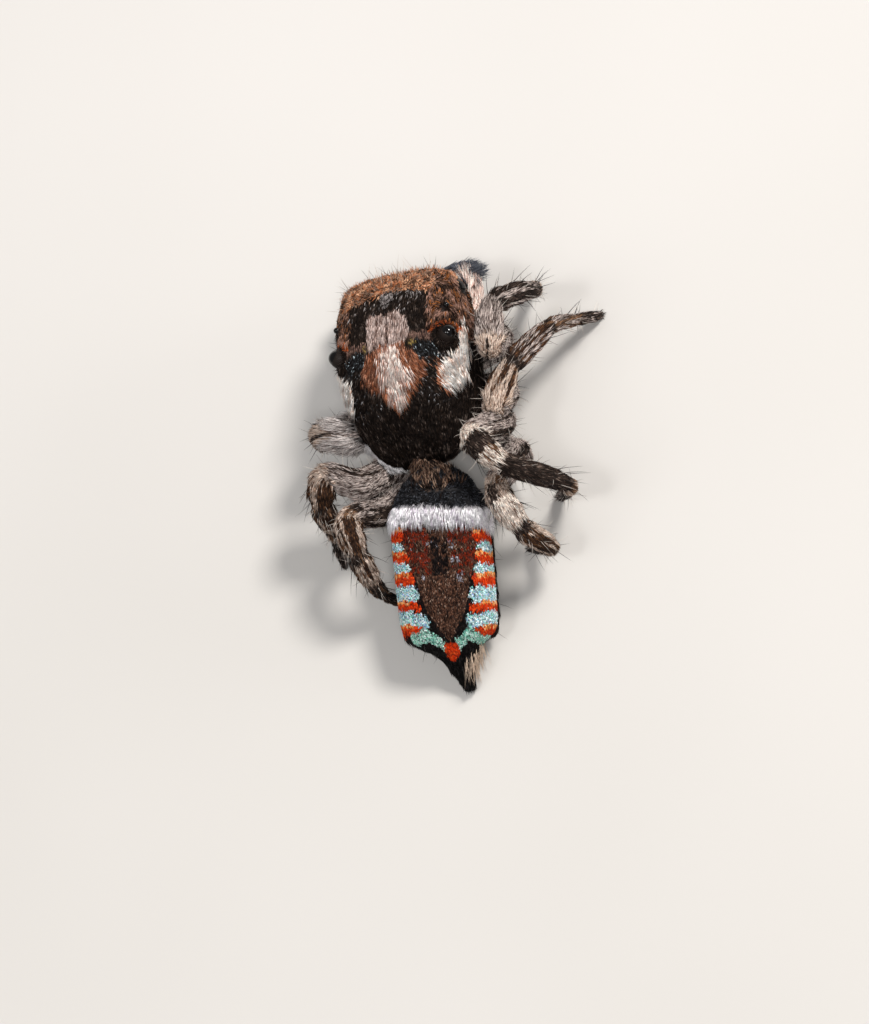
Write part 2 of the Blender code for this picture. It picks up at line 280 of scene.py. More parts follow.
def domed(grid, places, outward, bulge, at_end, reach=0.2):
    """Adds rounded narrowing cross-sections past one end of a grid."""
    ring = grid[-1] if at_end else grid[0]
    centre = ring.mean(0)
    rings, spots = [], []
    for share in (0.94, 0.82, 0.64, 0.40, 0.15):
        out = bulge * math.sqrt(1 - share**2)
        rings.append(centre + (ring - centre) * share + outward * out)
        spots.append((places[-1] if at_end else places[0]) + (1 if at_end else -1) * reach * (1 - share))
    if at_end:
        return np.concatenate([grid, rings]), np.concatenate([places, spots])
    return np.concatenate([rings[::-1], grid]), np.concatenate([spots[::-1], places])


def body_surface(name, body, stations, sign, low_power, bulges, sides=96, steps=8):
    """A body through its stations, which run forward or, with sign -1, back, with bulging ends."""
    places = np.linspace(0, len(stations) - 1, (len(stations) - 1) * steps + 1)
    place, width, top, margin, under, top_power = through(stations, places).T[:, :, None]
    angle = np.linspace(0, math.tau, sides, endpoint=False)[None, :]
    upper = np.sin(angle) >= 0
    power = 2.0 / np.where(upper, top_power, low_power)
    across = np.sign(np.cos(angle)) * np.abs(np.cos(angle)) ** power * width
    rise = np.abs(np.sin(angle)) ** power * (np.where(upper, top, under) - margin)
    swing = 0.0
    if sign < 0:
        swing = TAIL_SWING * np.maximum(0.0, place - TAIL_START) ** 2
        swing = swing + TAIL_ASIDE * smooth(place, TAIL_START, TAIL_START + TAIL_ROOT)
    grid = np.stack([across + swing, sign * place + 0 * across, margin + rise], axis=2)
    forward = np.array((0.0, sign, 0.0))
    grid, spots = domed(grid, places, forward, bulges[1], True)
    grid, spots = domed(grid, spots, -forward, bulges[0], False)
    return Surface(name, to_world(body, grid), spots)


def tube_surface(name, points, radii, sides=28, steps=12, pull=0.42):
    """A round limb along a smooth path. Its turn is 0.25 along the back of the limb."""
    places = np.linspace(0, len(points) - 1, (len(points) - 1) * steps + 1)
    path = through(points, places, pull)
    radius = radii(places)
    along = unit(np.gradient(path, axis=0))
    angle = np.linspace(0, math.tau, sides, endpoint=False)
    side_way = unit(np.cross(along[0], (0.0, 0.0, 1.0)))
    rings = []
    for centre, way, size in zip(path, along, radius):
        side_way = unit(side_way - way * side_way.dot(way))
        back_way = np.cross(side_way, way)
        rim = np.outer(np.cos(angle), side_way) + np.outer(np.sin(angle), back_way)
        rings.append(centre + rim * size)
    grid, spots = domed(np.array(rings), places, along[-1], radius[-1], True)
    grid, spots = domed(grid, spots, -along[0], radius[0], False)
    return Surface(name, grid, spots)


def leg_surface(leg):
    joints = np.array(LEG_JOINTS[leg], float)
    step = joints[-1] - joints[-2]
    tip = joints[-1] + step * (joints[-1][2] - SOLE_HEIGHT) / -step[2]
    path = standing_to_world(np.vstack([joints, tip]))
    places, sizes = np.array(LEG_PROFILE).T
    return tube_surface("leg_" + leg, path, lambda at: np.interp(at, places, sizes))


def mouth_surface(name, rows, sign):
    rows = np.array(rows) * (sign, 1, 1, 1)
    spots = np.arange(len(rows))
    return tube_surface(name, to_world(FRONT, rows[:, :3]), lambda at: np.interp(at, spots, rows[:, 3]))


def pedicel_surface():
    ends = [to_world(FRONT, (0, 0.3, 0.02)), to_world(FRONT, (0, 0, 0)), to_world(ABDOMEN, (0, -0.3, 0.02))]
    return tube_surface("pedicel", np.array(ends), lambda at: np.full(len(at), 0.11))


def all_eyes():
    """Name, side, middle and radius of each eye."""
    for eye, (right, forward, up, radius) in EYES.items():
        for side, sign in SIDES.items():
            yield eye, side, to_world(FRONT, (sign * right, forward, up)), radius


def bare_surfaces():
    surfaces = [
        body_surface("front", FRONT, FRONT_STATIONS, 1, FRONT_LOW_POWER, (0.03, 0.05)),
        body_surface("abdomen", ABDOMEN, ABDOMEN_STATIONS, -1, ABDOMEN_LOW_POWER, (0.05, 0.03)),
        pedicel_surface(),
    ]
    for side, sign in SIDES.items():
        surfaces.append(mouth_surface("chelicera_" + side, CHELICERA, sign))
        surfaces.append(mouth_surface("pedipalp_" + side, PALP, sign))
    return surfaces + [leg_surface(leg) for leg in LEG_JOINTS]


# ---- looks of the coat

Look = namedtuple("Look", "colours length width lift swirl cover clump shiny", defaults=(0.9, 0.35, False))

# Screen colours with their shares, then length and width of a tuft in millimetres, how far it
# stands up and how far it turns aside in degrees, how dense it is, how much its colour goes with
# its neighbours', and whether it glitters.
LOOKS = {
    # Black hair: dark brown, with lighter brown shares that are partly painted sheen.
    "black": Look(((26, 20, 17, 7), (46, 36, 30, 3), (98, 86, 79, 0.6)), 0.085, 0.011, 14, 14, 0.9),
    "brow": Look(((214, 166, 132, 20), (184, 118, 80, 24), (150, 122, 104, 24), (112, 80, 62, 20),
                  (58, 42, 34, 12)), 0.10, 0.014, 58, 90, 1.0, 0.85),
    "brow_dark": Look(((170, 132, 116, 3), (112, 82, 66, 4), (40, 30, 25, 5), (182, 112, 60, 1)),
                      0.12, 0.011, 26, 24, 1.0, 0.6),
    "ash": Look(((178, 170, 168, 4), (128, 120, 118, 3), (40, 34, 31, 4)), 0.09, 0.010, 24, 26, 0.95, 0.3),
    "speckle": Look(((150, 148, 150, 3), (60, 56, 56, 4), (24, 20, 20, 4)), 0.05, 0.010, 22, 40, 0.95, 0.2),
    "patch": Look(((214, 194, 186, 40), (174, 150, 140, 34), (100, 78, 70, 26)),
                  0.12, 0.010, 14, 12, 1.0, 0.45),
    "midline": Look(((70, 52, 46, 7), (116, 92, 84, 3)), 0.08, 0.010, 12, 8),
    "rust": Look(((158, 96, 66, 36), (186, 134, 108, 24), (96, 60, 46, 40)), 0.11, 0.010, 15, 16, 1.0, 0.3),
    "streak": Look(((255, 236, 226, 52), (230, 200, 188, 26), (164, 122, 106, 22)),
                   0.17, 0.010, 18, 12, 1.0, 0.35),
    "fringe": Look(((190, 126, 94, 5), (154, 100, 74, 5)), 0.12, 0.010, 18, 14, 1.0, 0.3),
    "orange": Look(((206, 104, 54, 5), (134, 66, 38, 5), (222, 146, 98, 1.5)),
                   0.07, 0.011, 26, 40, 0.95, 0.5),
    "white": Look(((255, 246, 238, 9), (248, 224, 210, 3), (200, 158, 136, 0.7)),
                  0.16, 0.010, 18, 12, 1.0, 0.15),
    "margin": Look(((244, 240, 240, 8), (212, 204, 204, 2)), 0.17, 0.010, 28, 12, 1.0, 0.2),
    # Dark blue-grey hairs whose palest share is painted glints.
    "dusk": Look(((22, 20, 20, 9), (60, 64, 68, 2.5), (176, 188, 194, 0.7)), 0.05, 0.012, 18, 40, 0.9, 0.1),
    "gold": Look(((170, 146, 84, 5), (126, 104, 68, 4), (66, 56, 44, 3)), 0.06, 0.012, 16, 30),
    "pink": Look(((136, 108, 96, 5), (92, 70, 62, 4), (46, 36, 33, 3)), 0.085, 0.011, 16, 20, 0.95, 0.4),
    "face": Look(((214, 200, 190, 4), (176, 118, 82, 3), (120, 90, 74, 3)), 0.07, 0.012, 20, 18, 0.9, 0.6),
    "belly": Look(((58, 48, 44, 5), (86, 74, 68, 3), (36, 30, 28, 2)), 0.09, 0.013, 18, 16, 0.6),
    "fuzz": Look(((40, 40, 43, 5), (78, 80, 86, 3), (15, 15, 17, 4)), 0.08, 0.010, 55, 90, 1.0, 0.45),
    "waist_hair": Look(((98, 74, 61, 5), (150, 124, 106, 3), (34, 26, 23, 8)),
                       0.17, 0.011, 46, 44, 1.0, 0.5),
    "band": Look(((255, 251, 255, 74), (240, 232, 242, 20), (180, 166, 182, 6)),
                 0.15, 0.011, 18, 14, 1.0, 0.4),
    "flank": Look(((34, 26, 23, 5), (54, 42, 37, 3), (18, 14, 13, 3)), 0.10, 0.012, 16, 14, 0.7),
    "tail": Look(((10, 9, 9, 8), (40, 37, 37, 2)), 0.12, 0.012, 18, 14, 0.9),
    "brown": Look(((84, 56, 43, 34), (112, 80, 64, 20), (48, 31, 25, 26), (22, 14, 12, 12),
                   (156, 130, 114, 4)), 0.05, 0.014, 21, 30, 1.0, 0.15),
    "dark_red": Look(((128, 42, 20, 5), (92, 36, 24, 4), (48, 26, 20, 3)), 0.05, 0.015, 20, 26, 1.0, 0.15),
    "red": Look(((212, 58, 16, 52), (222, 80, 28, 26), (166, 40, 12, 22)), 0.05, 0.017, 19, 18, 1.0),
    "amber": Look(((236, 154, 84, 5), (242, 196, 142, 3), (214, 104, 44, 3)), 0.05, 0.017, 19, 18, 1.0),
    "border": Look(((16, 12, 12, 7), (34, 24, 23, 3)), 0.05, 0.015, 19, 20, 1.0),
    # Cyan and green scales: beside their own colour, the near-white shares are painted glints and the spread
    # of hues from scale to scale is painted iridescent sheen.
    "cyan": Look(((206, 244, 248, 30), (248, 254, 255, 24), (140, 208, 222, 16), (164, 188, 236, 10),
                  (132, 224, 196, 10), (62, 98, 106, 10)), 0.036, 0.019, 23, 60, 1.0, 0.0, True),
    "green": Look(((150, 226, 200, 32), (206, 248, 234, 24), (100, 178, 164, 18), (236, 252, 248, 12),
                   (40, 78, 68, 14)), 0.036, 0.019, 23, 60, 1.0, 0.0, True),
    "lilac": Look(((178, 174, 184, 5), (136, 132, 146, 3), (222, 220, 228, 2)),
                  0.035, 0.015, 21, 40, 0.6, 0.2, True),
    "grey": Look(((204, 190, 183, 4), (156, 142, 135, 3), (84, 71, 66, 3)), 0.11, 0.010, 17, 14, 1.0, 0.3),
    "mane": Look(((212, 204, 200, 5), (166, 156, 152, 3), (108, 98, 94, 2)), 0.25, 0.010, 30, 14, 1.0, 0.3),
    "cream": Look(((214, 196, 182, 5), (180, 157, 141, 3), (126, 101, 85, 2)),
                  0.10, 0.010, 15, 12, 1.0, 0.25),
    "pale": Look(((250, 236, 224, 5), (212, 192, 178, 3), (140, 114, 98, 2)),
                 0.11, 0.010, 17, 12, 1.0, 0.25),
    "tan": Look(((108, 80, 60, 40), (72, 54, 43, 36), (150, 116, 90, 24)), 0.09, 0.010, 15, 12, 1.0),
    "umber": Look(((64, 45, 35, 40), (40, 29, 24, 34), (112, 78, 54, 26)), 0.09, 0.010, 15, 12, 1.0),
    "dark": Look(((36, 29, 26, 6), (64, 52, 46, 3), (120, 104, 94, 1)), 0.09, 0.010, 16, 14, 0.9),
    "slate": Look(((84, 88, 98, 5), (116, 118, 126, 3), (38, 38, 43, 3)), 0.16, 0.011, 16, 10, 1.0, 0.4),
}
NAMES = list(LOOKS)
SCALY = {"brown", "dark_red", "red", "amber", "border", "cyan", "green", "lilac"}


def zone(name):
    """A look's number."""
    return NAMES.index(name)


# ---- markings

# By forward place on the front body: how far the markings' middle line lies to the right, half the
# width of the rust patch and of the streak on it, then level and half width of the flank streak, and
# half width of the pale line on the left margin.
MIDLINE = ((0.44, 0.02), (0.60, 0.03), (0.80, 0.04), (1.10, 0.01), (1.60, 0.0))
RUST_HALF = ((0.50, 0.06), (0.60, 0.22), (0.74, 0.36), (0.88, 0.36), (1.00, 0.26), (1.10, 0.20))
STREAK_HALF = ((0.45, 0.03), (0.54, 0.09), (0.66, 0.13), (0.78, 0.14), (0.92, 0.09), (1.10, 0.07))
FLANK_LEVEL = ((0.55, 0.64), (0.80, 0.66), (1.00, 0.62), (1.25, 0.58))
FLANK_HALF = ((0.56, 0.0), (0.66, 0.09), (0.78, 0.15), (0.90, 0.13), (1.04, 0.09), (1.24, 0.06), (1.46, 0.0))
MARGIN_LEVEL = tuple((row[0], row[3]) for row in FRONT_STATIONS)
MARGIN_HALF = ((0.02, 0.02), (0.14, 0.06), (0.45, 0.06), (0.9, 0.03), (1.6, 0.015))
# By place back from the waist: half the width of the brown plate. By place aside: where the tail starts.
PLATE_HALF = ((1.2, 0.32), (1.35, 0.28), (1.55, 0.24), (1.72, 0.16), (1.86, 0.07), (1.95, 0.0))
TAIL_EDGE = ((0.0, 1.99), (0.06, 1.94), (0.22, 1.80), (0.45, 1.88))
LILAC_SPOTS = ((0.13, 0.88), (0.16, 1.05), (0.21, 1.25))
HAIR_REACH = 0.05               # how far back a hair carries its colour from its root
SCALE_REACH = 0.03              # and a scale of the abdomen
BAR_SLANT = 0.09                # how much further back the bars lie to the right
# Bars of the abdomen: look, start and end back from the waist, inner edge, slope of the inner end.
BARS = (
    ("red", 0.69, 0.845, 0.38, 0.0),
    ("cyan", 0.845, 0.95, 0.40, 0.0),
    ("red", 0.95, 1.088, 0.36, 0.0),
    ("cyan", 1.088, 1.185, 0.35, 0.0),
    ("red", 1.185, 1.33, 0.31, 0.0),
    ("cyan", 1.33, 1.505, 0.27, 0.1),
    ("red", 1.505, 1.60, 0.27, 0.1),
    ("cyan", 1.60, 1.755, 0.20, 0.2),
    ("red", 1.755, 1.90, 0.24, 0.2),
)


def by_place(places, rows):
    """What rows of place and value say at these places."""
    return np.interp(places, *np.transpose(rows))


def between(value, low, high):
    return (value > low) & (value < high)


def paint_front(points, place, turn):
    """Looks on the front body, later ones over earlier ones."""
    local = to_body(FRONT, points)
    fine = uneven(points, 0.012, 21)
    wobble = uneven(points, 0.06, 1, 0.06) + uneven(points, 0.025, 11, 0.04)
    x, ahead, up = local.T
    outward = np.abs(x)
    right = x > 0
    x = x - by_place(ahead, MIDLINE)
    aside = np.abs(x) + wobble + 0.03 * fine
    shown = ahead - HAIR_REACH + uneven(points, 0.05, 2, 0.06) + 0.04 * fine
    found = np.full(len(points), zone("black"))

    def put(name, where):
        found[where] = zone(name)

    # Back of the head and its middle patches.
    chance = noise(points, 0.022, 3)
    top = up > 0.5
    put("ash", top & (shown > 1.45) & (aside < 0.60) & (chance > 0.78))
    put("speckle", top & between(shown, 0.40, 0.98) & between(aside, 0.2, 0.64) & (chance > 0.70))
    lobes = 1.50 - 0.10 * smooth(aside, 0.15, 0.26) - 0.09 * smooth(-aside, -0.06, 0.0)
    put("patch", top & (aside < 0.25 + 0.04 * fine) & between(shown, 1.10, lobes))
    put("midline", top & (np.abs(x + 0.3 * wobble) < 0.013) & between(shown, 1.10, 1.44))
    put("midline", top & (aside < 0.22) & (np.abs(shown - 1.10 + 0.1 * x) < 0.02) & (chance > 0.35))
    rust_half = by_place(shown, RUST_HALF) + 0.10 * fine
    put("rust", top & (aside < rust_half) & between(shown, 0.50 + 0.1 * fine, 1.10))
    streak_half = by_place(shown, STREAK_HALF)
    put("fringe", (aside < streak_half + 0.04) & between(shown, 0.40, 0.66))
    blend = 0.30 * fine * smooth(shown, 0.55, 0.75)
    put("streak", (aside < streak_half - 0.01 + blend) & between(shown, 0.45 + 0.1 * fine, 1.10))
    # Dark hairs with painted glints, in a patch on each side.
    put("dusk", top & between(np.abs(x), 0.30, 0.56) & between(shown, 0.86, 1.06))
    put("pink", top & between(aside, 0.26, 0.56) & (np.abs(shown - 1.13) < 0.045))
    put("gold", top & (np.hypot(aside - 0.28, (shown - 1.07) * 1.2) < 0.045) & (chance > 0.4))

    # Brow, face and the orange rim by the rear side eyes.
    brow_edge = np.where(x > 0, 1.76 - 0.06 * smooth(aside, 0.2, 0.5), 1.74 - 0.25 * aside**2)
    put("ash", top & between(x, 0.04, 0.40) & (ahead > brow_edge - 0.09) & (chance > 0.55))
    put("brow", (up > 0.60) & (ahead > brow_edge + 0.05 * fine))
    put("brow_dark", (aside > 0.48) & (up > 0.66) & (ahead > 1.28) & (ahead <= brow_edge) & (chance > 0.3))
    # Painted shade: the lower flank under the brow and the right flank ahead of the eye lie in shade, so
    # they get the dark brow look.
    put("brow_dark", (up > 0.36) & (up <= 0.60) & (ahead > 1.30))
    put("brow_dark", (x > 0.50 + wobble) & (up > 0.36) & between(ahead, 1.45, 1.92))
    put("ash", (up > 0.66) & (np.hypot(x, (ahead - 1.70) * 0.8) < 0.08))
    eye = np.hypot(outward - EYES["rear_side"][0], ahead - EYES["rear_side"][1])
    put("orange", (up > 0.60) & (ahead > 1.20) & between(eye, 0.10, 0.20) & (chance > 0.25))
    put("face", (ahead > 2.02) & (up < 0.80))

    # Flank streaks, underside and the pale line on the left margin.
    side = (outward > 0.45) & (up > 0.40)
    level = by_place(shown, FLANK_LEVEL)
    half = by_place(shown, FLANK_HALF)
    off = np.abs(up - level + wobble) + 0.12 * fine
    put("fringe", side & right & (off < half + 0.03) & between(shown, 0.53, 0.82) & (up > level - 0.02))
    put("white", side & (off < half) & between(shown, 0.56, np.where(right, 1.46, 1.24)))
    margin = by_place(ahead, MARGIN_LEVEL)
    put("belly", up < margin - 0.10)
    put("black", ~right & (up > margin) & (up < 0.50) & (shown > 0.9) & (found == zone("white")))
    rim = np.where(right, 0.0, by_place(ahead, MARGIN_HALF))
    put("margin", (np.abs(up - margin - 0.01) < rim) & between(ahead, 0.08, 1.8))
    return found


def paint_abdomen(points, place, turn):
    """Looks on the abdomen, later ones over earlier ones."""
    x, ahead, up = to_body(ABDOMEN, points).T
    aside = np.abs(x - 0.015)
    wobble = uneven(points, 0.05, 4, 0.05)
    grain = uneven(points, 0.018, 13, 0.04)
    back = SCALE_REACH - ahead - BAR_SLANT * x + wobble + grain
    plate = up > 0.08
    found = np.full(len(points), zone("flank"))

    def put(name, where):
        found[where] = zone(name)

    # The plate and its spots.
    chance = noise(points, 0.03, 5)
    put("belly", up < -0.12)
    put("brown", plate & between(back, 0.6, 2.03))
    put("dark_red", plate & between(back, 0.66, 1.20) & (aside > 0.12) & (chance > 0.52))
    put("dark_red", plate & (np.abs(back - 1.01) < 0.05) & (aside > 0.13) & (chance > 0.25))
    put("dark_red", plate & (np.abs(back - 0.77) < 0.07) & (aside > 0.1) & (chance > 0.35))
    put("border", plate & (aside < 0.10) & between(back, 0.8, 1.2) & (chance > 0.45))
    for spot_a, spot_back in LILAC_SPOTS:
        near = np.hypot(aside - spot_a, back - spot_back) < np.where(x > 0, 0.05, 0.025)
        put("lilac", plate & near & (chance > 0.45))
    put("lilac", plate & between(back, 0.66, 0.95) & (aside < 0.42) & (chance > 0.83))
    put("border", plate & (aside > by_place(back, PLATE_HALF)) & (back > 1.2))

    # Bars, whose inner ends are rounded and whose red has an amber front edge.
    for name, start, end, inner, slope in BARS:
        bar = back - slope * (0.5 - np.minimum(aside, 0.5))
        inward = 0.05 * ((bar - (start + end) / 2) / (end - start) * 2) ** 2
        here = plate & between(bar, start, end)
        put(name, here & (aside > inner + inward + wobble))
        if name == "red":
            put("amber", here & (bar < start + 0.3 * (end - start)) & (aside > 0.38) & (chance > 0.3))

    # Tail end.
    edge = by_place(aside, TAIL_EDGE)
    put("border", (up > -0.06) & (back > edge) & (aside < 0.48))
    put("green", (up > -0.06) & between(back, edge, edge + 0.15) & between(aside, 0.05, 0.44))
    put("tail", (back > 2.0) & (found != zone("green")))
    put("tail", back > 2.08)
    put("red", (np.hypot(x - 0.02, back - 2.05) < 0.092) & (up > 0.0))

    # Hairs at the waist and the white band behind them.
    put("fuzz", (back < 0.50) & (up > -0.15))
    waist = (back < 0.30) & (np.abs(x) < 0.04 + 0.3 * chance)
    put("waist_hair", waist & in_waist_lock(points))
    band_front = 0.45 + 0.25 * wobble
    band_rear = 0.60 + 0.08 * smooth(aside, 0.42, 0.56) + wobble
    put("band", between(back, band_front, band_rear) & (up > -0.12))
    return found


def in_waist_lock(points):
    """Where the brown locks of the waist are, between dark ones."""
    return noise(points, 0.045, 23) > 0.42


# Per stretch of a leg: start and end in spans, main look, the look of its streaks and their share.
LEG_BANDS = (
    (-1.0, 1.0, "grey", "dark", 0.45),
    (1.0, 2.75, "grey", "dark", 0.42),
    (2.75, 3.12, "cream", "tan", 0.2),
    (3.12, 3.88, "cream", "umber", 0.45),
    (3.88, 4.10, "dark", "tan", 0.2),
    (4.10, 4.55, "cream", "umber", 0.58),
    (4.55, 4.78, "cream", "tan", 0.3),
    (4.78, 5.1, "dark", "tan", 0.3),
    (5.1, 5.45, "cream", "tan", 0.5),
    (5.45, 6.1, "dark", "tan", 0.35),
    (6.1, 9.0, "dark", "grey", 0.25),
)
# Stretches that differ on one leg.
LEG_OWN = {
    "right_1": ((2.75, 3.2, "cream", "dark", 0.25), (3.2, 3.9, "grey", "dark", 0.42),
                (3.9, 5.1, "dark", "grey", 0.45)),
    "right_2": ((3.12, 3.9, "cream", "umber", 0.48), (4.1, 4.8, "grey", "umber", 0.5),
                (5.0, 6.1, "tan", "grey", 0.45)),
    "right_3": ((2.8, 3.14, "pale", "tan", 0.15), (3.14, 3.55, "dark", "dark", 0.0),
                (3.55, 3.9, "pale", "tan", 0.2), (3.9, 5.0, "dark", "dark", 0.1),
                (5.0, 5.5, "cream", "tan", 0.35)),
    "right_4": ((3.0, 3.3, "dark", "cream", 0.5), (3.3, 3.88, "pale", "umber", 0.25),
                (4.1, 5.1, "umber", "cream", 0.5)),
    "left_1": ((-1.0, 2.6, "grey", "dark", 0.4), (2.6, 9.0, "dark", "tan", 0.2)),
    "left_2": ((1.0, 2.7, "mane", "grey", 0.45), (2.7, 3.2, "cream", "dark", 0.5)),
    "left_3": ((1.0, 2.8, "grey", "dark", 0.33), (2.75, 3.0, "cream", "tan", 0.2)),
    "left_4": ((1.0, 2.8, "grey", "dark", 0.4), (5.0, 7.0, "dark", "tan", 0.4)),
}


def paint_leg(leg):
    """The function that paints a leg, with bands across it and streaks along it."""
    number = list(LEG_JOINTS).index(leg)

    def paint(points, place, turn):
        angle = turn * math.tau
        rolled = np.stack([np.cos(angle) * 1.3, np.sin(angle) * 1.3, place * 0.55 + number * 10], axis=1)
        streaks = 0.62 * noise(rolled, 0.40, 6) + 0.26 * noise(rolled, 0.17, 14)
        streaks += 0.12 * noise(points, 0.012, 22)
        at = place + uneven(points, 0.05, 7, 0.12)
        found = np.full(len(points), zone("grey"))
        for start, end, main, other, share in LEG_BANDS + LEG_OWN.get(leg, ()):
            inside = (at >= start) & (at < end)
            found[inside] = np.where(streaks[inside] < 0.5 + (share - 0.5) * 0.5, zone(other), zone(main))
        return found

    return paint


PALP_BEND = 2.45                # where a palp turns inward and its hairs change, in spans


def paint_palp(points, place, turn):
    chance = noise(points, 0.08, 8)
    found = np.where(chance > 0.3, zone("slate"), zone("dark"))
    found[place < PALP_BEND] = zone("streak")
    return found


def paint_chelicera(points, place, turn):
    return np.where(noise(points, 0.09, 9) > 0.5, zone("cream"), zone("tan"))


def paint_pedicel(points, place, turn):
    return np.where(in_waist_lock(points), zone("waist_hair"), zone("fuzz"))


def painter(name):
    """The function that gives each spot of a surface its look, by its point, place and turn."""
    if name.startswith("leg_"):
        return paint_leg(name[4:])
    for start, paint in (("front", paint_front), ("abdomen", paint_abdomen), ("pedipalp", paint_palp),
                         ("chelicera", paint_chelicera)):
        if name.startswith(start):
            return paint
    return paint_pedicel


def per_tuft(field, zones):
    """One value of each tuft's look."""
    return np.array([getattr(look, field) for look in LOOKS.values()])[zones]


def pick_colours(points, zones, rng):
    """A linear colour for each tuft, drawn from its look, partly shared with its neighbours."""
    colours = np.zeros((len(zones), 3))
    shared = smooth(0.6 * noise(points, 0.075, 15) + 0.4 * noise(points, 0.03, 16), 0.22, 0.78)
    clump = per_tuft("clump", zones)
    draw = np.where(rng.uniform(0, 1, len(zones)) < clump, shared, rng.uniform(0, 1, len(zones)))
    for index in np.unique(zones):
        choices = np.array(LOOKS[NAMES[index]].colours, float)
        here = zones == index
        shares = np.cumsum(choices[:, 3]) / choices[:, 3].sum()
        chosen = np.minimum(np.searchsorted(shares, draw[here]), len(choices) - 1)
        colours[here] = linear(choices[chosen, :3])
    return colours


def mean_colours(zones):
    """The mean colour of each look, as linear light."""
    table = []
    for name in NAMES:
        choices = np.array(LOOKS[name].colours, float)
        table.append((linear(choices[:, :3]) * choices[:, 3:]).sum(0) / choices[:, 3].sum())
    return np.array(table)[zones]


# ---- meshes


def add_object(name, data):
    thing = bpy.data.objects.new(name, data)
    bpy.context.scene.collection.objects.link(thing)
    return thing


def mesh_from(shape, name):
    mesh = bpy.data.meshes.new(name)
    shape.to_mesh(mesh)
    shape.free()
    return mesh


def make_piece(name, points, faces, material, colours, patches=None):
    """A mesh in metres from millimetre points, riding on the part's one body."""
    mesh = bpy.data.meshes.new(name)
    mesh.vertices.add(len(points))
    mesh.vertices.foreach_set("co", (np.asarray(points) * MM).astype(np.float32).ravel())
    faces = np.asarray(faces, np.int32)
    mesh.loops.add(faces.size)
    mesh.loops.foreach_set("vertex_index", faces.ravel())
    mesh.polygons.add(len(faces))
    mesh.polygons.foreach_set("loop_start", np.arange(len(faces), dtype=np.int32) * faces.shape[1])
    mesh.update(calc_edges=True)
    if patches is not None:
        layer = mesh.uv_layers.new(name="OFBake")
        layer.uv.foreach_set("vector", patches[faces.ravel()].astype(np.float32).ravel())
    add_colours(mesh, colours)
    mesh.shade_smooth()
    mesh.validate()
    return finish_piece(name, mesh, material)


def add_colours(mesh, colours):
    layer = mesh.color_attributes.new(name="Marking", type="FLOAT_COLOR", domain="POINT")
    opaque = np.column_stack([colours, np.ones(len(colours))])
    layer.data.foreach_set("color", opaque.astype(np.float32).ravel())


def finish_piece(name, mesh, material):
    """A visible piece with its material, on its body."""
    mesh.materials.append(material)
    piece = add_object(name, mesh)
    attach(piece, BODY)
    return piece


def grid_faces(rows, sides):
    """Four-sided faces between the neighbouring rings of a grid."""
    row, side = np.meshgrid(np.arange(rows - 1), np.arange(sides), indexing="ij")
    after = (side + 1) % sides
    corners = [row * sides + side, row * sides + after, (row + 1) * sides + after, (row + 1) * sides + side]
    return np.stack(corners, axis=2).reshape(-1, 4)


# ---- the skin

SKIN_CELL = 0.0225
COLLAR_SHARE = 1.15             # collar of skin round an eye, as a share of the eye's radius
COLLAR_BACK = 0.32              # how far the collar's middle lies behind the eye's, in eye radii
SKIN_TONE = (20, 15, 12)
MARKING_SHARE, TONE_SHARE = 0.45, 0.5   # how much of the coat's markings and of its own tone skin has
EYE_RIM_TONE = (26, 18, 14)


def closed_shell(grid):
    """Points and faces of a grid whose two ends are closed."""
    rows, sides = grid.shape[:2]
    faces = [tuple(face) for face in grid_faces(rows, sides)]
    faces.append(tuple(range(sides)))
    faces.append(tuple(range((rows - 1) * sides, rows * sides)))
    return [tuple(point) for point in grid.reshape(-1, 3)], faces


def collar_ball(centre, radius, steps=20):
    angle = np.linspace(0.06, math.pi - 0.06, steps)[:, None]
    turn = np.linspace(0, math.tau, 2 * steps, endpoint=False)[None, :]
    rim = [np.sin(angle) * np.cos(turn), np.sin(angle) * np.sin(turn), np.cos(angle) + 0 * turn]
    return centre + radius * np.stack(rim, axis=2)


def eye_collars():
    """A ball of flesh behind each eye, which leaves a collar of skin round it."""
    shells = []
    for eye, side, centre, radius in all_eyes():
        inward = unit(to_world(FRONT, (0, EYES[eye][1] - 0.35, 0.45)) - centre)
        shells.append(collar_ball(centre + inward * radius * COLLAR_BACK, radius * COLLAR_SHARE))
    return shells


def skin_mesh(surfaces):
    """All the bare shapes as one closed surface, in millimetres."""
    points, faces = [], []
    for grid in [surface.grid for surface in surfaces] + eye_collars():
        own_points, own_faces = closed_shell(grid)
        faces += [tuple(corner + len(points) for corner in face) for face in own_faces]
        points += own_points
    mesh = bpy.data.meshes.new("skin_shells")
    mesh.from_pydata(points, [], faces)
    rough = add_object("skin_shells", mesh)
    melt = rough.modifiers.new("melt together", "REMESH")
    melt.mode = "VOXEL"
    melt.voxel_size = SKIN_CELL
    soften = rough.modifiers.new("soften", "SMOOTH")
    soften.factor = 0.5
    soften.iterations = 5
    graph = bpy.context.evaluated_depsgraph_get()
    done = bpy.data.meshes.new_from_object(rough.evaluated_get(graph))
    bpy.data.objects.remove(rough)
    return done


def mesh_points(mesh):
    points = np.empty(len(mesh.vertices) * 3, np.float32)
    mesh.vertices.foreach_get("co", points)
    return points.reshape(-1, 3).astype(float)


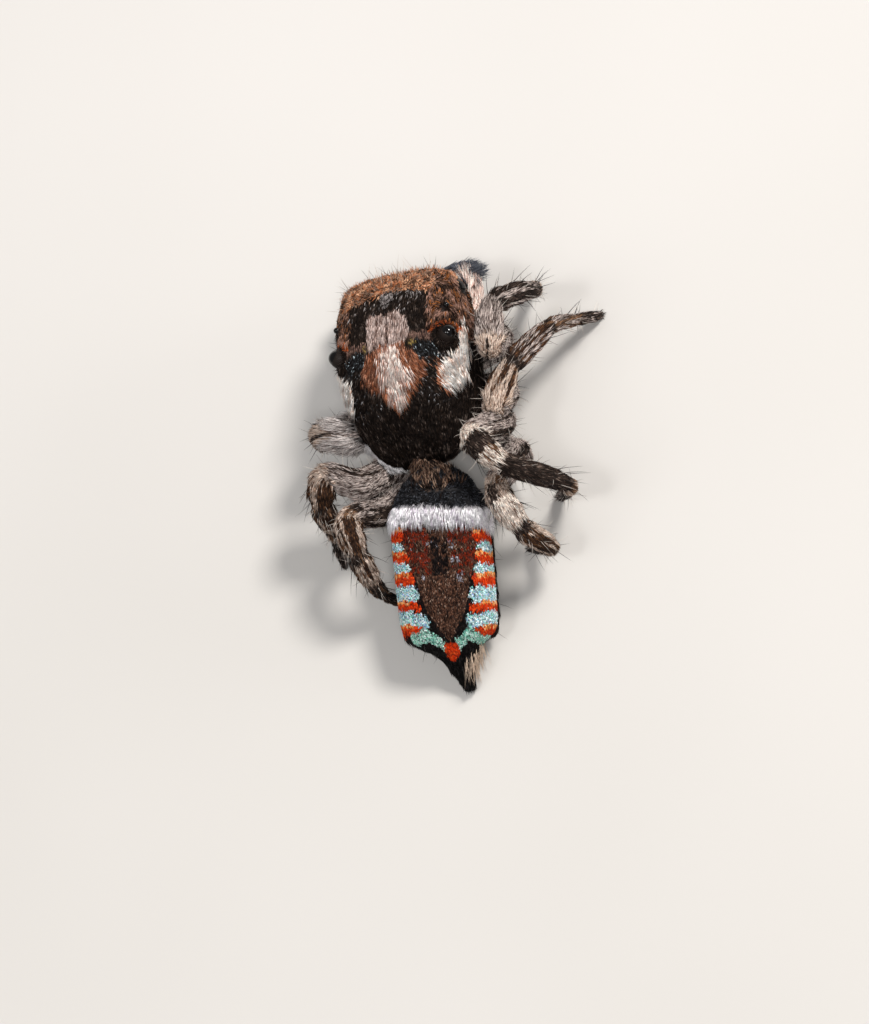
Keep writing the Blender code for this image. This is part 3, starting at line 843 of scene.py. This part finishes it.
def paint_skin(points, surfaces):
    """The coat's own markings on the skin, darkened, by the nearest bare shape."""
    grids = [surface.grid.reshape(-1, 3) for surface in surfaces]
    tree = KDTree(sum(len(grid) for grid in grids))
    for index, point in enumerate(np.concatenate(grids)):
        tree.insert(point, index)
    tree.balance()
    nearest = np.array([tree.find(point)[1] for point in points])
    owner = np.repeat(np.arange(len(grids)), [len(grid) for grid in grids])[nearest]
    place, turn = [], []
    for surface in surfaces:
        rows, sides = surface.grid.shape[:2]
        place.append(np.repeat(surface.places, sides))
        turn.append(np.tile(np.arange(sides) / sides, rows))
    place, turn = np.concatenate(place)[nearest], np.concatenate(turn)[nearest]
    colours = np.zeros((len(points), 3))
    for number, surface in enumerate(surfaces):
        here = owner == number
        colours[here] = mean_colours(painter(surface.name)(points[here], place[here], turn[here]))
    colours = colours * MARKING_SHARE + linear(SKIN_TONE) * TONE_SHARE
    for eye, side, centre, radius in all_eyes():
        rim = smooth(-distance(points, centre), -radius - 0.09, -radius - 0.03)[:, None]
        colours = colours * (1 - rim) + linear(EYE_RIM_TONE) * rim
    return colours


def build_skin(surfaces, material):
    """The skin, which stands for every solid but the eyes. Gives a tree that finds places on it."""
    mesh = skin_mesh(surfaces)
    points = mesh_points(mesh)
    faces = [tuple(face.vertices) for face in mesh.polygons]
    tree = BVHTree.FromPolygons([tuple(point) for point in points], faces)
    add_colours(mesh, paint_skin(points, surfaces))
    mesh.transform(Matrix.Scale(MM, 4))
    mesh.shade_smooth()
    skin = finish_piece("skin", mesh, material)
    flesh = [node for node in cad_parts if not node.startswith("eye_")]
    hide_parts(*flesh)
    return tree


# ---- the coat

PATCH = 0.003                   # a tuft's patch on the unwrapped skin
TUFTS_PER_PIECE = 32000
ROOT_DEPTH = 0.05               # how deep a root sits in the skin, as a share of the tuft's length
ROOT_REACH = 0.06               # how far the skin may lie from the bare shape under a root
ROOT_FACING = 0.25              # and how little the skin there may face the same way
EYE_GAP = 0.008                 # between an eye and the nearest roots
TUFT_BEND = 0.5                 # how much of its rise a tuft gives back towards its tip
FLOOR_GAP = 0.003               # hair stays this far over the floor
# A tuft's five corners: along, across and up, and its six faces.
TUFT_CORNERS = np.array(((0, 0, 0), (0.4, -0.5, -0.1), (0.4, 0.5, -0.1), (0.4, 0, 0.4), (1, 0, 0)), float)
TUFT_FACES = np.array(((0, 2, 1), (0, 1, 3), (0, 3, 2), (4, 1, 2), (4, 3, 1), (4, 2, 3)))
# Painted shade and light on each tuft: dark at the root where the coat shades it, lighter along its top
# ridge and lightest at the tip.
PAINTED_TUFT_SHADING = np.array((0.35, 0.92, 0.92, 1.0, 1.15))


def combed(name, local):
    """The way the coat lies on a body, in that body's frame."""
    x, ahead, up = local.T
    if name == "abdomen":
        forward = 2.0 * smooth(ahead, -0.34, -0.2)
        return np.column_stack([0 * x, forward - 1.0, np.where(up < 0.1, -0.25, 0.0)])
    fan = smooth(ahead, 0.45, 0.65) * smooth(-ahead, -1.10, -0.95) * smooth(up, 0.4, 0.6)
    ways = np.column_stack([1.6 * fan * x, -1.0 + 0.0 * x, np.where(up < 0.5, -0.3, 0.0)])
    brow = (smooth(ahead, 1.70, 1.90) * smooth(np.hypot(x, ahead - 1.70), 0.08, 0.14))[:, None]
    ways = ways * (1 - brow) + brow * np.column_stack([0.6 * x, 0.5 + 0 * x, 0.2 + 0 * x])
    face = (smooth(ahead, 2.04, 2.12) * smooth(-up, -0.86, -0.76))[:, None]
    down = np.column_stack([0.5 * np.sign(x), 0.2 + 0 * x, -1.0 + 0 * x])
    return ways * (1 - face) + down * face


def find_roots(surface, density, tree, rng):
    """Roots on the skin, thinned as their looks say, with the way each hair is combed."""
    spots = surface.scatter(density, rng)
    zones = painter(surface.name)(spots.points, spots.places, spots.turns)
    thin = rng.uniform(0, 1, len(zones)) < per_tuft("cover", zones)
    ways = spots.ways
    if surface.name in ("front", "abdomen"):
        body = FRONT if surface.name == "front" else ABDOMEN
        ways = way_to_world(body, combed(surface.name, to_body(body, spots.points)))
    elif surface.name.startswith("pedipalp"):
        ways = np.where((spots.places > PALP_BEND)[:, None], -ways, ways)
    roots = keep(Roots(*spots._replace(ways=ways), zones), thin)
    snapped, skin_normals, _, apart = zip(*(tree.find_nearest(Vector(point)) for point in roots.points))
    facing = np.abs((np.array(skin_normals) * roots.normals).sum(1))
    on_skin = (np.array(apart) < ROOT_REACH) & (facing > ROOT_FACING)
    roots = keep(roots._replace(points=np.array(snapped)), on_skin)
    return clear_of_eyes(roots) if surface.name.startswith(("front", "pedipalp")) else roots


def clear_of_eyes(roots):
    """Roots under an eye go, and hairs beside one lie away from it."""
    kept = np.ones(len(roots.points), bool)
    ways = unit(roots.ways)
    for eye, side, centre, radius in all_eyes():
        out = roots.points - centre
        apart = distance(roots.points, centre)
        kept &= apart > radius + EYE_GAP
        near = smooth(-apart, -radius - 0.10, -radius - 0.02)[:, None]
        ways = ways + unit(out) * near * 1.6
    return keep(roots._replace(ways=unit(ways)), kept)


def tuft_ways(roots, rng):
    """Each tuft's way along and across, in locks that lean the same way."""
    lock = uneven(roots.points, 0.10, 17)
    aside = np.radians(per_tuft("swirl", roots.zones)) * (1.8 * lock + rng.normal(0, 0.4, len(lock)))
    normals = unit(roots.normals)
    along = unit(roots.ways - normals * (roots.ways * normals).sum(1)[:, None])
    along = along * np.cos(aside)[:, None] + np.cross(normals, along) * np.sin(aside)[:, None]
    return normals, along, np.cross(normals, along)


def tuft_points(roots, rng):
    """Corner points of a tuft on each root, thin hairs or flat scales that lie unevenly."""
    length, width, lift = (per_tuft(field, roots.zones) for field in ("length", "width", "lift"))
    count = len(length)
    ruffle = noise(roots.points, 0.06, 18)
    length = length * (0.7 + 0.6 * ruffle) * rng.uniform(0.75, 1.2, count)
    width = width * rng.uniform(0.75, 1.25, count)
    lift = np.radians(lift) * (0.5 + ruffle) * rng.uniform(0.5, 1.5, count)
    normals, along, across = tuft_ways(roots, rng)
    scaly = np.isin(roots.zones, [zone(name) for name in SCALY])
    thick = np.where(scaly, 0.45, 1.0) * width
    roll = np.where(scaly, rng.normal(0, 0.35, count), 0.0)
    across = across * np.cos(roll)[:, None] + normals * np.sin(roll)[:, None]
    t, side, high = (TUFT_CORNERS[:, k][None, :, None] for k in range(3))
    steep = np.sin(lift)[:, None]
    rise = (steep * t[..., 0] - TUFT_BEND * steep * t[..., 0] ** 2)[..., None]
    reach = (np.cos(lift) * length)[:, None, None]
    starts = roots.points - normals * (ROOT_DEPTH * length)[:, None]
    points = starts[:, None] + along[:, None] * t * reach
    points = points + normals[:, None] * (rise * length[:, None, None] + high * thick[:, None, None])
    points = points + across[:, None] * side * width[:, None, None]
    points[..., 2] = np.maximum(points[..., 2], FLOOR_GAP)
    return points


def tuft_colours(roots, rng):
    """A colour for each corner, with painted shade at the root and painted light along its top and at the
    tip.
    """
    shade = rng.uniform(0.82, 1.18, len(roots.points)) * (0.85 + 0.3 * noise(roots.points, 0.04, 19))
    colours = pick_colours(roots.points, roots.zones, rng) * shade[:, None]
    return np.clip(colours[:, None] * PAINTED_TUFT_SHADING[None, :, None], 0, 1)


def coat_piece(name, surfaces, density, tree, materials, rng):
    """One coat over some surfaces, whose unwraps share one square side by side."""
    every = [find_roots(surface, density, tree, rng) for surface in surfaces]
    across = [(number + 0.02 + 0.96 * own.turns) / len(every) for number, own in enumerate(every)]
    roots = Roots(*(np.concatenate(values) for values in zip(*every)))
    patches = np.column_stack([np.concatenate(across), 0.01 + 0.98 * roots.runs])
    shiny = per_tuft("shiny", roots.zones)
    add_tufts(name, keep(roots, ~shiny), patches[~shiny], materials["coat"], rng)
    if shiny.any():
        add_tufts(name + "_glitter", keep(roots, shiny), patches[shiny], materials["glitter"], rng)


def add_tufts(name, roots, patches, material, rng):
    """Pieces of coat from front to back, each small enough to bake."""
    order = np.argsort(roots.points[:, 1], kind="stable")
    pieces = -(-len(order) // TUFTS_PER_PIECE)
    for number, chosen in enumerate(np.array_split(order, pieces)):
        own_roots = keep(roots, chosen)
        points = tuft_points(own_roots, rng)
        colours = tuft_colours(own_roots, rng)
        count, corners = points.shape[:2]
        faces = (TUFT_FACES[None] + np.arange(count)[:, None, None] * corners).reshape(-1, 3)
        spread = np.stack([TUFT_CORNERS[:, 1], TUFT_CORNERS[:, 0] - 0.5], axis=1) * PATCH
        uv = (patches[chosen][:, None] + spread[None]).reshape(-1, 2)
        own = name if pieces == 1 else f"{name}_{number + 1}"
        make_piece(own, points.reshape(-1, 3), faces, material, colours.reshape(-1, 3), uv)


# ---- materials

RELIEF_DEPTH = 0.000004         # metres
RELIEF_SCALE = 150000.0         # of the noise, to the metre
MOTTLE_SCALE = 40000.0


def new_material(name):
    material = bpy.data.materials.new(name)
    material.use_nodes = True
    tree = material.node_tree
    return material, tree, tree.nodes["Principled BSDF"]


def add_node(tree, kind, **inputs):
    """A node with these inputs set. An underscore stands for a space in an input's name."""
    node = tree.nodes.new(kind)
    for key, value in inputs.items():
        node.inputs[key.replace("_", " ")].default_value = value
    return node


def noise_node(tree, scale):
    where = tree.nodes.new("ShaderNodeTexCoord")
    node = add_node(tree, "ShaderNodeTexNoise", Scale=scale, Detail=3.0)
    tree.links.new(where.outputs["Object"], node.inputs["Vector"])
    return node.outputs["Fac"]


def ranged(tree, value, low, high):
    """A noise value spread from low to high."""
    node = add_node(tree, "ShaderNodeMapRange", From_Min=0.3, From_Max=0.7, To_Min=low, To_Max=high)
    tree.links.new(value, node.inputs["Value"])
    return node.outputs["Result"]


def finish_shader(tree, shader, colour, roughness, specular, relief_scale, bump):
    """Base colour, uneven gloss and fine relief."""
    tree.links.new(colour, shader.inputs["Base Color"])
    tree.links.new(roughness, shader.inputs["Roughness"])
    shader.inputs["Specular IOR Level"].default_value = specular
    relief = add_node(tree, "ShaderNodeBump", Strength=bump, Distance=RELIEF_DEPTH)
    tree.links.new(noise_node(tree, relief_scale), relief.inputs["Height"])
    tree.links.new(relief.outputs["Normal"], shader.inputs["Normal"])


def marked_material(name, roughness, metallic=0.0, bump=0.3, specular=0.5):
    """Base colour from the markings, mottled by noise."""
    material, tree, shader = new_material(name)
    marking = tree.nodes.new("ShaderNodeAttribute")
    marking.attribute_name = "Marking"
    fine = noise_node(tree, MOTTLE_SCALE)
    mottle = tree.nodes.new("ShaderNodeMix")
    mottle.data_type = "RGBA"
    mottle.blend_type = "MULTIPLY"
    mottle.inputs["Factor"].default_value = 1.0
    # Inputs 6 and 7 and output 2 are the ones for colours.
    tree.links.new(marking.outputs["Color"], mottle.inputs[6])
    tree.links.new(ranged(tree, fine, 0.78, 1.18), mottle.inputs[7])
    shader.inputs["Metallic"].default_value = metallic
    gloss = ranged(tree, fine, roughness - 0.08, roughness + 0.1)
    finish_shader(tree, shader, mottle.outputs[2], gloss, specular, RELIEF_SCALE, bump)
    return material


def two_tone_material(name, dark, light, scale, roughness, specular=0.5, bump=0.1):
    """Base colour between two tones."""
    material, tree, shader = new_material(name)
    fine = noise_node(tree, scale)
    ramp = tree.nodes.new("ShaderNodeValToRGB")
    for element, position, tone in zip(ramp.color_ramp.elements, (0.35, 0.7), (dark, light)):
        element.position = position
        element.color = (*linear(tone), 1)
    tree.links.new(fine, ramp.inputs["Fac"])
    gloss = ranged(tree, fine, roughness * 0.8, roughness * 1.3)
    finish_shader(tree, shader, ramp.outputs["Color"], gloss, specular, scale * 3, bump)
    return material


def make_materials():
    return {
        "skin": marked_material("cuticle", 0.6, bump=0.6, specular=0.2),
        "coat": marked_material("hair", 0.65, bump=0.15, specular=0.08),
        "glitter": marked_material("glittering_scale", 0.26, metallic=0.3, bump=0.2, specular=0.9),
        "lens": two_tone_material("eye_lens", (2, 1, 1), (8, 5, 4), 9000.0, 0.03, specular=0.4, bump=0.0),
        "claw": two_tone_material("dark_horn", (14, 10, 8), (52, 34, 22), 30000.0, 0.3),
        "bristle": marked_material("bristle", 0.35, bump=0.0),
        "floor": two_tone_material("pale_floor", (200, 197, 192), (209, 206, 202), 60.0, 0.7, bump=0.02),
    }


# ---- eyes, claws and bristles


def build_eyes(material):
    for eye, side, centre, radius in all_eyes():
        shape = bmesh.new()
        bmesh.ops.create_icosphere(shape, subdivisions=5, radius=radius * MM)
        bmesh.ops.translate(shape, verts=shape.verts, vec=Vector(centre * MM))
        mesh = mesh_from(shape, "lens")
        mesh.shade_smooth()
        lens = finish_piece(f"lens_{eye}_{side}", mesh, material)
        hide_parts(f"eye_{eye}_{side}")


BRISTLE_LEVELS = 5
HAIR_RADIUS = 0.0035            # of most standing hairs, in millimetres
CLAW_RINGS = (-9, -6)           # rings of a leg's surface between which its claws' way is taken


def bristles(starts, ways, bends, lengths, radii, colours):
    """Curved tapering three-sided bristles: points, faces and colours. None reaches the floor."""
    ways = unit(ways)
    clear = (starts + (ways + bends) * lengths[:, None])[:, 2] > FLOOR_GAP
    every = (starts, ways, bends, lengths, radii, colours)
    starts, ways, bends, lengths, radii, colours = (values[clear] for values in every)
    count = len(starts)
    side = unit(np.cross(ways, np.where(np.abs(ways[:, 2:]) > 0.9, (1.0, 0, 0), (0, 0, 1.0))))
    over = np.cross(side, ways)
    rings = []
    for level in range(BRISTLE_LEVELS):
        t = level / BRISTLE_LEVELS
        middle = starts + ways * (lengths * t)[:, None] + bends * (lengths * t * t)[:, None]
        for corner in range(3):
            angle = math.tau * corner / 3
            rim = side * math.cos(angle) + over * math.sin(angle)
            rings.append(middle + rim * (radii * (1 - 0.8 * t))[:, None])
    rings.append(starts + ways * lengths[:, None] + bends * lengths[:, None])
    points = np.stack(rings, axis=1)
    faces = [(0, 1, 2)]
    for level in range(BRISTLE_LEVELS - 1):
        for corner in range(3):
            after = (corner + 1) % 3
            low, high = level * 3, level * 3 + 3
            faces += [(low + corner, high + corner, low + after), (low + after, high + corner, high + after)]
    last = (BRISTLE_LEVELS - 1) * 3
    tip = BRISTLE_LEVELS * 3
    faces += [(last + corner, tip, last + (corner + 1) % 3) for corner in range(3)]
    faces = (np.array(faces)[None] + np.arange(count)[:, None, None] * (tip + 1)).reshape(-1, 3)
    return points.reshape(-1, 3), faces, np.repeat(colours, tip + 1, axis=0)


def bristle_piece(name, groups, material):
    joined = [np.concatenate([np.asarray(values, float) for values in column]) for column in zip(*groups)]
    points, faces, colours = bristles(*joined)
    return make_piece(name, points, faces, material, colours)


def leg_spines(surface, rng):
    """Spines on the shin and foot, leaning towards the tip."""
    spots = surface.scatter(2500, rng)
    shin = between(spots.places, 3.3, 6.2)
    spots = keep(spots, shin & (rng.uniform(0, 1, len(shin)) < 0.008))
    count = len(spots.points)
    ways = spots.normals * 0.8 + spots.ways * rng.uniform(0.6, 1.2, (count, 1))
    lengths = rng.uniform(0.16, 0.30, count)
    colours = np.tile(linear((26, 20, 17)), (count, 1))
    return spots.points, ways, spots.ways * 0.25, lengths, np.full(count, 0.005), colours


def standing_hairs(surface, rng, density, tone, length, radius=HAIR_RADIUS, lean=0.6, where=None):
    """Fine hairs that stand out of the coat, so many to a square millimetre."""
    spots = surface.scatter(density, rng)
    if where is not None:
        spots = keep(spots, where(spots.points))
    if surface.name == "front":
        for eye, side, centre, lens in all_eyes():
            spots = keep(spots, distance(spots.points, centre) > lens + 0.05)
    count = len(spots.points)
    tipward = lean if surface.name.startswith("leg") else -lean
    ways = spots.normals + spots.ways * tipward + rng.normal(0, 0.35, (count, 3))
    lengths = length * rng.uniform(0.6, 1.3, count)
    bends = rng.normal(0, 0.12, (count, 3))
    colours = np.tile(linear(tone), (count, 1)) * rng.uniform(0.7, 1.2, (count, 1))
    return spots.points, ways, bends, lengths, np.full(count, radius), colours


def loose_hairs(points, ways, rng, spread, tone, shades, bend, lengths, radius):
    """Hairs on these points, each a little off its way, with its own shade, bend and length."""
    count = len(points)
    ways = ways + rng.normal(0, spread, (count, 3))
    colours = np.tile(linear(tone), (count, 1)) * rng.uniform(*shades, (count, 1))
    bends = rng.normal(0, bend, (count, 3))
    return points, ways, bends, rng.uniform(*lengths, count), np.full(count, radius), colours


def tail_fringe(surface, rng):
    """Long pale hairs that trail back from the right rear corner of the abdomen."""
    points = surface.scatter(1500, rng).points
    x, ahead, up = to_body(ABDOMEN, points).T
    points = points[between(ahead, -2.20, -1.93) & between(x, 0.13, 0.34) & (up < 0.12)]
    back = way_to_world(ABDOMEN, (0.02, -1.0, 0.05))
    return loose_hairs(points, back, rng, spread=0.12, tone=(222, 196, 172), shades=(0.5, 1.1),
                       bend=0.06, lengths=(0.14, 0.32), radius=0.004)


def palp_brush(surface, rng):
    """The brush of hairs on the outer bend of a palp."""
    spots = surface.scatter(5000, rng)
    points = spots.points[between(spots.places, 2.5, 3.5)]
    sign = SIDES[surface.name.rsplit("_", 1)[1]]
    out = way_to_world(FRONT, (sign * 1.0, 0.10, 0.05))
    return loose_hairs(points, out, rng, spread=0.09, tone=(96, 100, 110), shades=(0.25, 1.2),
                       bend=0.04, lengths=(0.10, 0.22), radius=0.005)


def lashes(surface, rng):
    """Dark short hairs round the rear side eyes."""
    spots = surface.scatter(2500, rng)
    near = np.zeros(len(spots.points), bool)
    for eye, side, centre, radius in all_eyes():
        if eye == "rear_side":
            near |= between(distance(spots.points, centre), radius, radius * 1.6)
    spots = keep(spots, near)
    ways = spots.normals - spots.ways * 0.5
    return loose_hairs(spots.points, ways, rng, spread=0.3, tone=(44, 32, 27), shades=(0.5, 1.6),
                       bend=0.1, lengths=(0.05, 0.10), radius=0.004)


def build_bristles(surfaces, materials, rng):
    legs = [surface for surface in surfaces if surface.name.startswith("leg_")]
    front, abdomen = surfaces[:2]

    def on_brow(points):
        x, ahead, up = to_body(FRONT, points).T
        return (ahead > 1.84) & (up > 0.6) & (x < 0.5)

    def on_edge(points):
        ahead, up = to_body(FRONT, points).T[1:]
        return (ahead > 1.8) & (up > 0.6)

    def on_back(points):
        return to_body(ABDOMEN, points)[:, 2] > -0.1

    dark = [leg_spines(leg, rng) for leg in legs]
    dark.append(lashes(front, rng))
    dark += [palp_brush(surface, rng) for surface in surfaces if surface.name.startswith("pedipalp")]
    dark.append(standing_hairs(front, rng, 60, (48, 38, 32), length=0.20, lean=0.2, where=on_brow))
    dark += [standing_hairs(leg, rng, 30, (60, 48, 42), length=0.16) for leg in legs]
    dark.append(standing_hairs(abdomen, rng, 12, (40, 32, 28), length=0.16, lean=-0.6, where=on_back))
    bristle_piece("dark_bristles", dark, materials["bristle"])
    pale = [standing_hairs(front, rng, 30, (186, 170, 158), 0.22, radius=0.003, lean=-0.2, where=on_edge)]
    pale.append(tail_fringe(abdomen, rng))
    for tone in ((196, 150, 118), (176, 112, 76), (120, 92, 76)):
        pale.append(standing_hairs(front, rng, 330, tone, 0.075, radius=0.006, lean=-0.3, where=on_brow))
    pale += [standing_hairs(leg, rng, 60, (206, 196, 186), length=0.15) for leg in legs]
    bristle_piece("pale_hairs", pale, materials["bristle"])


def horn_piece(name, horns, length, radius, tone, material):
    """Curved horns of one size, each given by its start, way and bend."""
    starts, ways, bends = (np.array(values, float) for values in zip(*horns))
    count = len(horns)
    sizes = np.full(count, length), np.full(count, radius)
    bristle_piece(name, [(starts, ways, bends, *sizes, np.tile(linear(tone), (count, 1)))], material)


def build_claws(surfaces, material):
    """Two claws at the tip of each leg."""
    claws = []
    for surface in surfaces:
        if not surface.name.startswith("leg_"):
            continue
        behind, ring = (surface.grid[number].mean(0) for number in CLAW_RINGS)
        flat = unit(unit(ring - behind) * (1, 1, 0))
        aside = np.cross(flat, (0, 0, 1))
        for sign in (-1, 1):
            start = ring + aside * sign * 0.018 + flat * 0.015
            claws.append((start, flat + (0, 0, 0.25) + aside * sign * 0.15, (0, 0, -0.55)))
    horn_piece("claws", claws, 0.075, 0.012, (30, 20, 14), material)


def build_fangs(material):
    fangs = []
    for sign in SIDES.values():
        start = to_world(FRONT, (sign * 0.14, 2.00, -0.30))
        way, bend = (-sign * 0.5, -0.2, -0.6), (-sign * 0.5, -0.3, 0.1)
        fangs.append((start, way_to_world(FRONT, way), way_to_world(FRONT, bend)))
    horn_piece("fangs", fangs, 0.07, 0.025, (30, 16, 10), material)


# ---- floor, lights and camera

IMAGE_HEIGHT_PX = 1024
PIXELS_PER_MM = 90.0
CAMERA_DISTANCE = 0.25          # metres
VIEW_SIDE, VIEW_RISE, VIEW_TILT = 16.0, 72.0, 3.0      # degrees to the right, up and round


def view_axes():
    """The picture's right and up and the way back to the camera, in the world."""
    side, rise, tilt = (math.radians(angle) for angle in (VIEW_SIDE, VIEW_RISE, VIEW_TILT))
    back = np.array((math.sin(side), -math.cos(side) * math.cos(rise), math.cos(side) * math.sin(rise)))
    ahead = unit(np.array((0.0, 1.0, 0.0)) - back * back[1])
    across = np.cross(ahead, back)
    right = across * math.cos(tilt) - ahead * math.sin(tilt)
    up = ahead * math.cos(tilt) + across * math.sin(tilt)
    return right * FLIP, up * FLIP, back * FLIP


VIEW_RIGHT, VIEW_UP, VIEW_BACK = view_axes()
AIM_FROM_WAIST = (-0.0167, -0.489)      # right and up in the picture, in millimetres
FLOOR_REACH = 0.5               # from its middle to its edge, in metres
SKY_COLOUR = (0.98, 0.97, 1.0, 1.0)
SKY_STRENGTH = 0.30
KEY_COLOUR = (1.0, 0.965, 0.93)


def build_floor(material):
    shape = bmesh.new()
    bmesh.ops.create_grid(shape, x_segments=8, y_segments=8, size=FLOOR_REACH)
    floor = add_object("floor", mesh_from(shape, "floor"))
    floor.data.materials.append(material)


def aim_point():
    """What the camera looks at, in metres."""
    right, up = AIM_FROM_WAIST
    return (to_world(ABDOMEN, (0, 0, 0)) + VIEW_RIGHT * right + VIEW_UP * up) * MM


def build_camera():
    data = bpy.data.cameras.new("camera")
    data.sensor_width = 36.0
    data.lens = data.sensor_width * CAMERA_DISTANCE / (IMAGE_HEIGHT_PX / PIXELS_PER_MM * MM)
    data.clip_start = 0.001
    data.clip_end = 10.0
    camera = add_object("camera", data)
    turn = Matrix(np.column_stack([VIEW_RIGHT, VIEW_UP, VIEW_BACK]).tolist()).to_4x4()
    place = Matrix.Translation(Vector(aim_point() + VIEW_BACK * CAMERA_DISTANCE))
    camera.matrix_world = place @ turn
    bpy.context.scene.camera = camera


def area_light(name, right_up_back, distance, size, power, colour=(1, 1, 1), mirrored=True):
    """A light placed from the aim point by the picture's own directions."""
    data = bpy.data.lights.new(name, "AREA")
    data.shape = "DISK"
    data.size = size
    data.energy = power
    data.color = colour
    light = add_object(name, data)
    right, up, back = right_up_back
    way = unit(VIEW_RIGHT * right + VIEW_UP * up + VIEW_BACK * back)
    light.location = Vector(aim_point() + way * distance)
    light.visible_glossy = mirrored
    light.rotation_mode = "QUATERNION"
    light.rotation_quaternion = Vector(way).to_track_quat("Z", "Y")


def build_lights():
    world = bpy.data.worlds.new("studio")
    world.use_nodes = True
    sky = world.node_tree.nodes["Background"]
    sky.inputs["Color"].default_value = SKY_COLOUR
    sky.inputs["Strength"].default_value = SKY_STRENGTH
    bpy.context.scene.world = world
    bpy.context.scene.view_settings.view_transform = "Standard"
    area_light("key", (0.30, 0.65, 0.75), distance=0.12, size=0.030, power=0.14, colour=KEY_COLOUR)
    area_light("fill", (-0.8, -0.1, 0.7), distance=0.14, size=0.08, power=0.03, mirrored=False)
    area_light("fill_right", (0.9, 0.2, 0.45), distance=0.14, size=0.06, power=0.045, mirrored=False)
    area_light("sparkle_left", (-0.45, 0.0, 0.85), distance=0.20, size=0.034, power=0.07)
    area_light("sparkle_right", (0.0, -0.05, 1.0), distance=0.20, size=0.034, power=0.07)


def main():
    rng = np.random.default_rng(SEED)
    materials = make_materials()
    surfaces = bare_surfaces()
    tree = build_skin(surfaces, materials["skin"])
    named = {surface.name: surface for surface in surfaces}
    coat_piece("coat_front", [named["front"]], 8500, tree, materials, rng)
    coat_piece("coat_abdomen", [named["abdomen"]], 8000, tree, materials, rng)
    mouth = [s for s in surfaces if s.name.startswith(("pedipalp", "chelicera", "pedicel"))]
    coat_piece("coat_mouthparts", mouth, 7000, tree, materials, rng)
    for side in SIDES:
        for pair in ((1, 2), (3, 4)):
            legs = [named[f"leg_{side}_{number}"] for number in pair]
            name = f"coat_legs_{side}_{pair[0]}_{pair[1]}"
            coat_piece(name, legs, 7000, tree, materials, rng)
    build_eyes(materials["lens"])
    build_claws(surfaces, materials["claw"])
    build_fangs(materials["claw"])
    build_bristles(surfaces, materials, rng)
    build_floor(materials["floor"])
    build_camera()
    build_lights()


main()
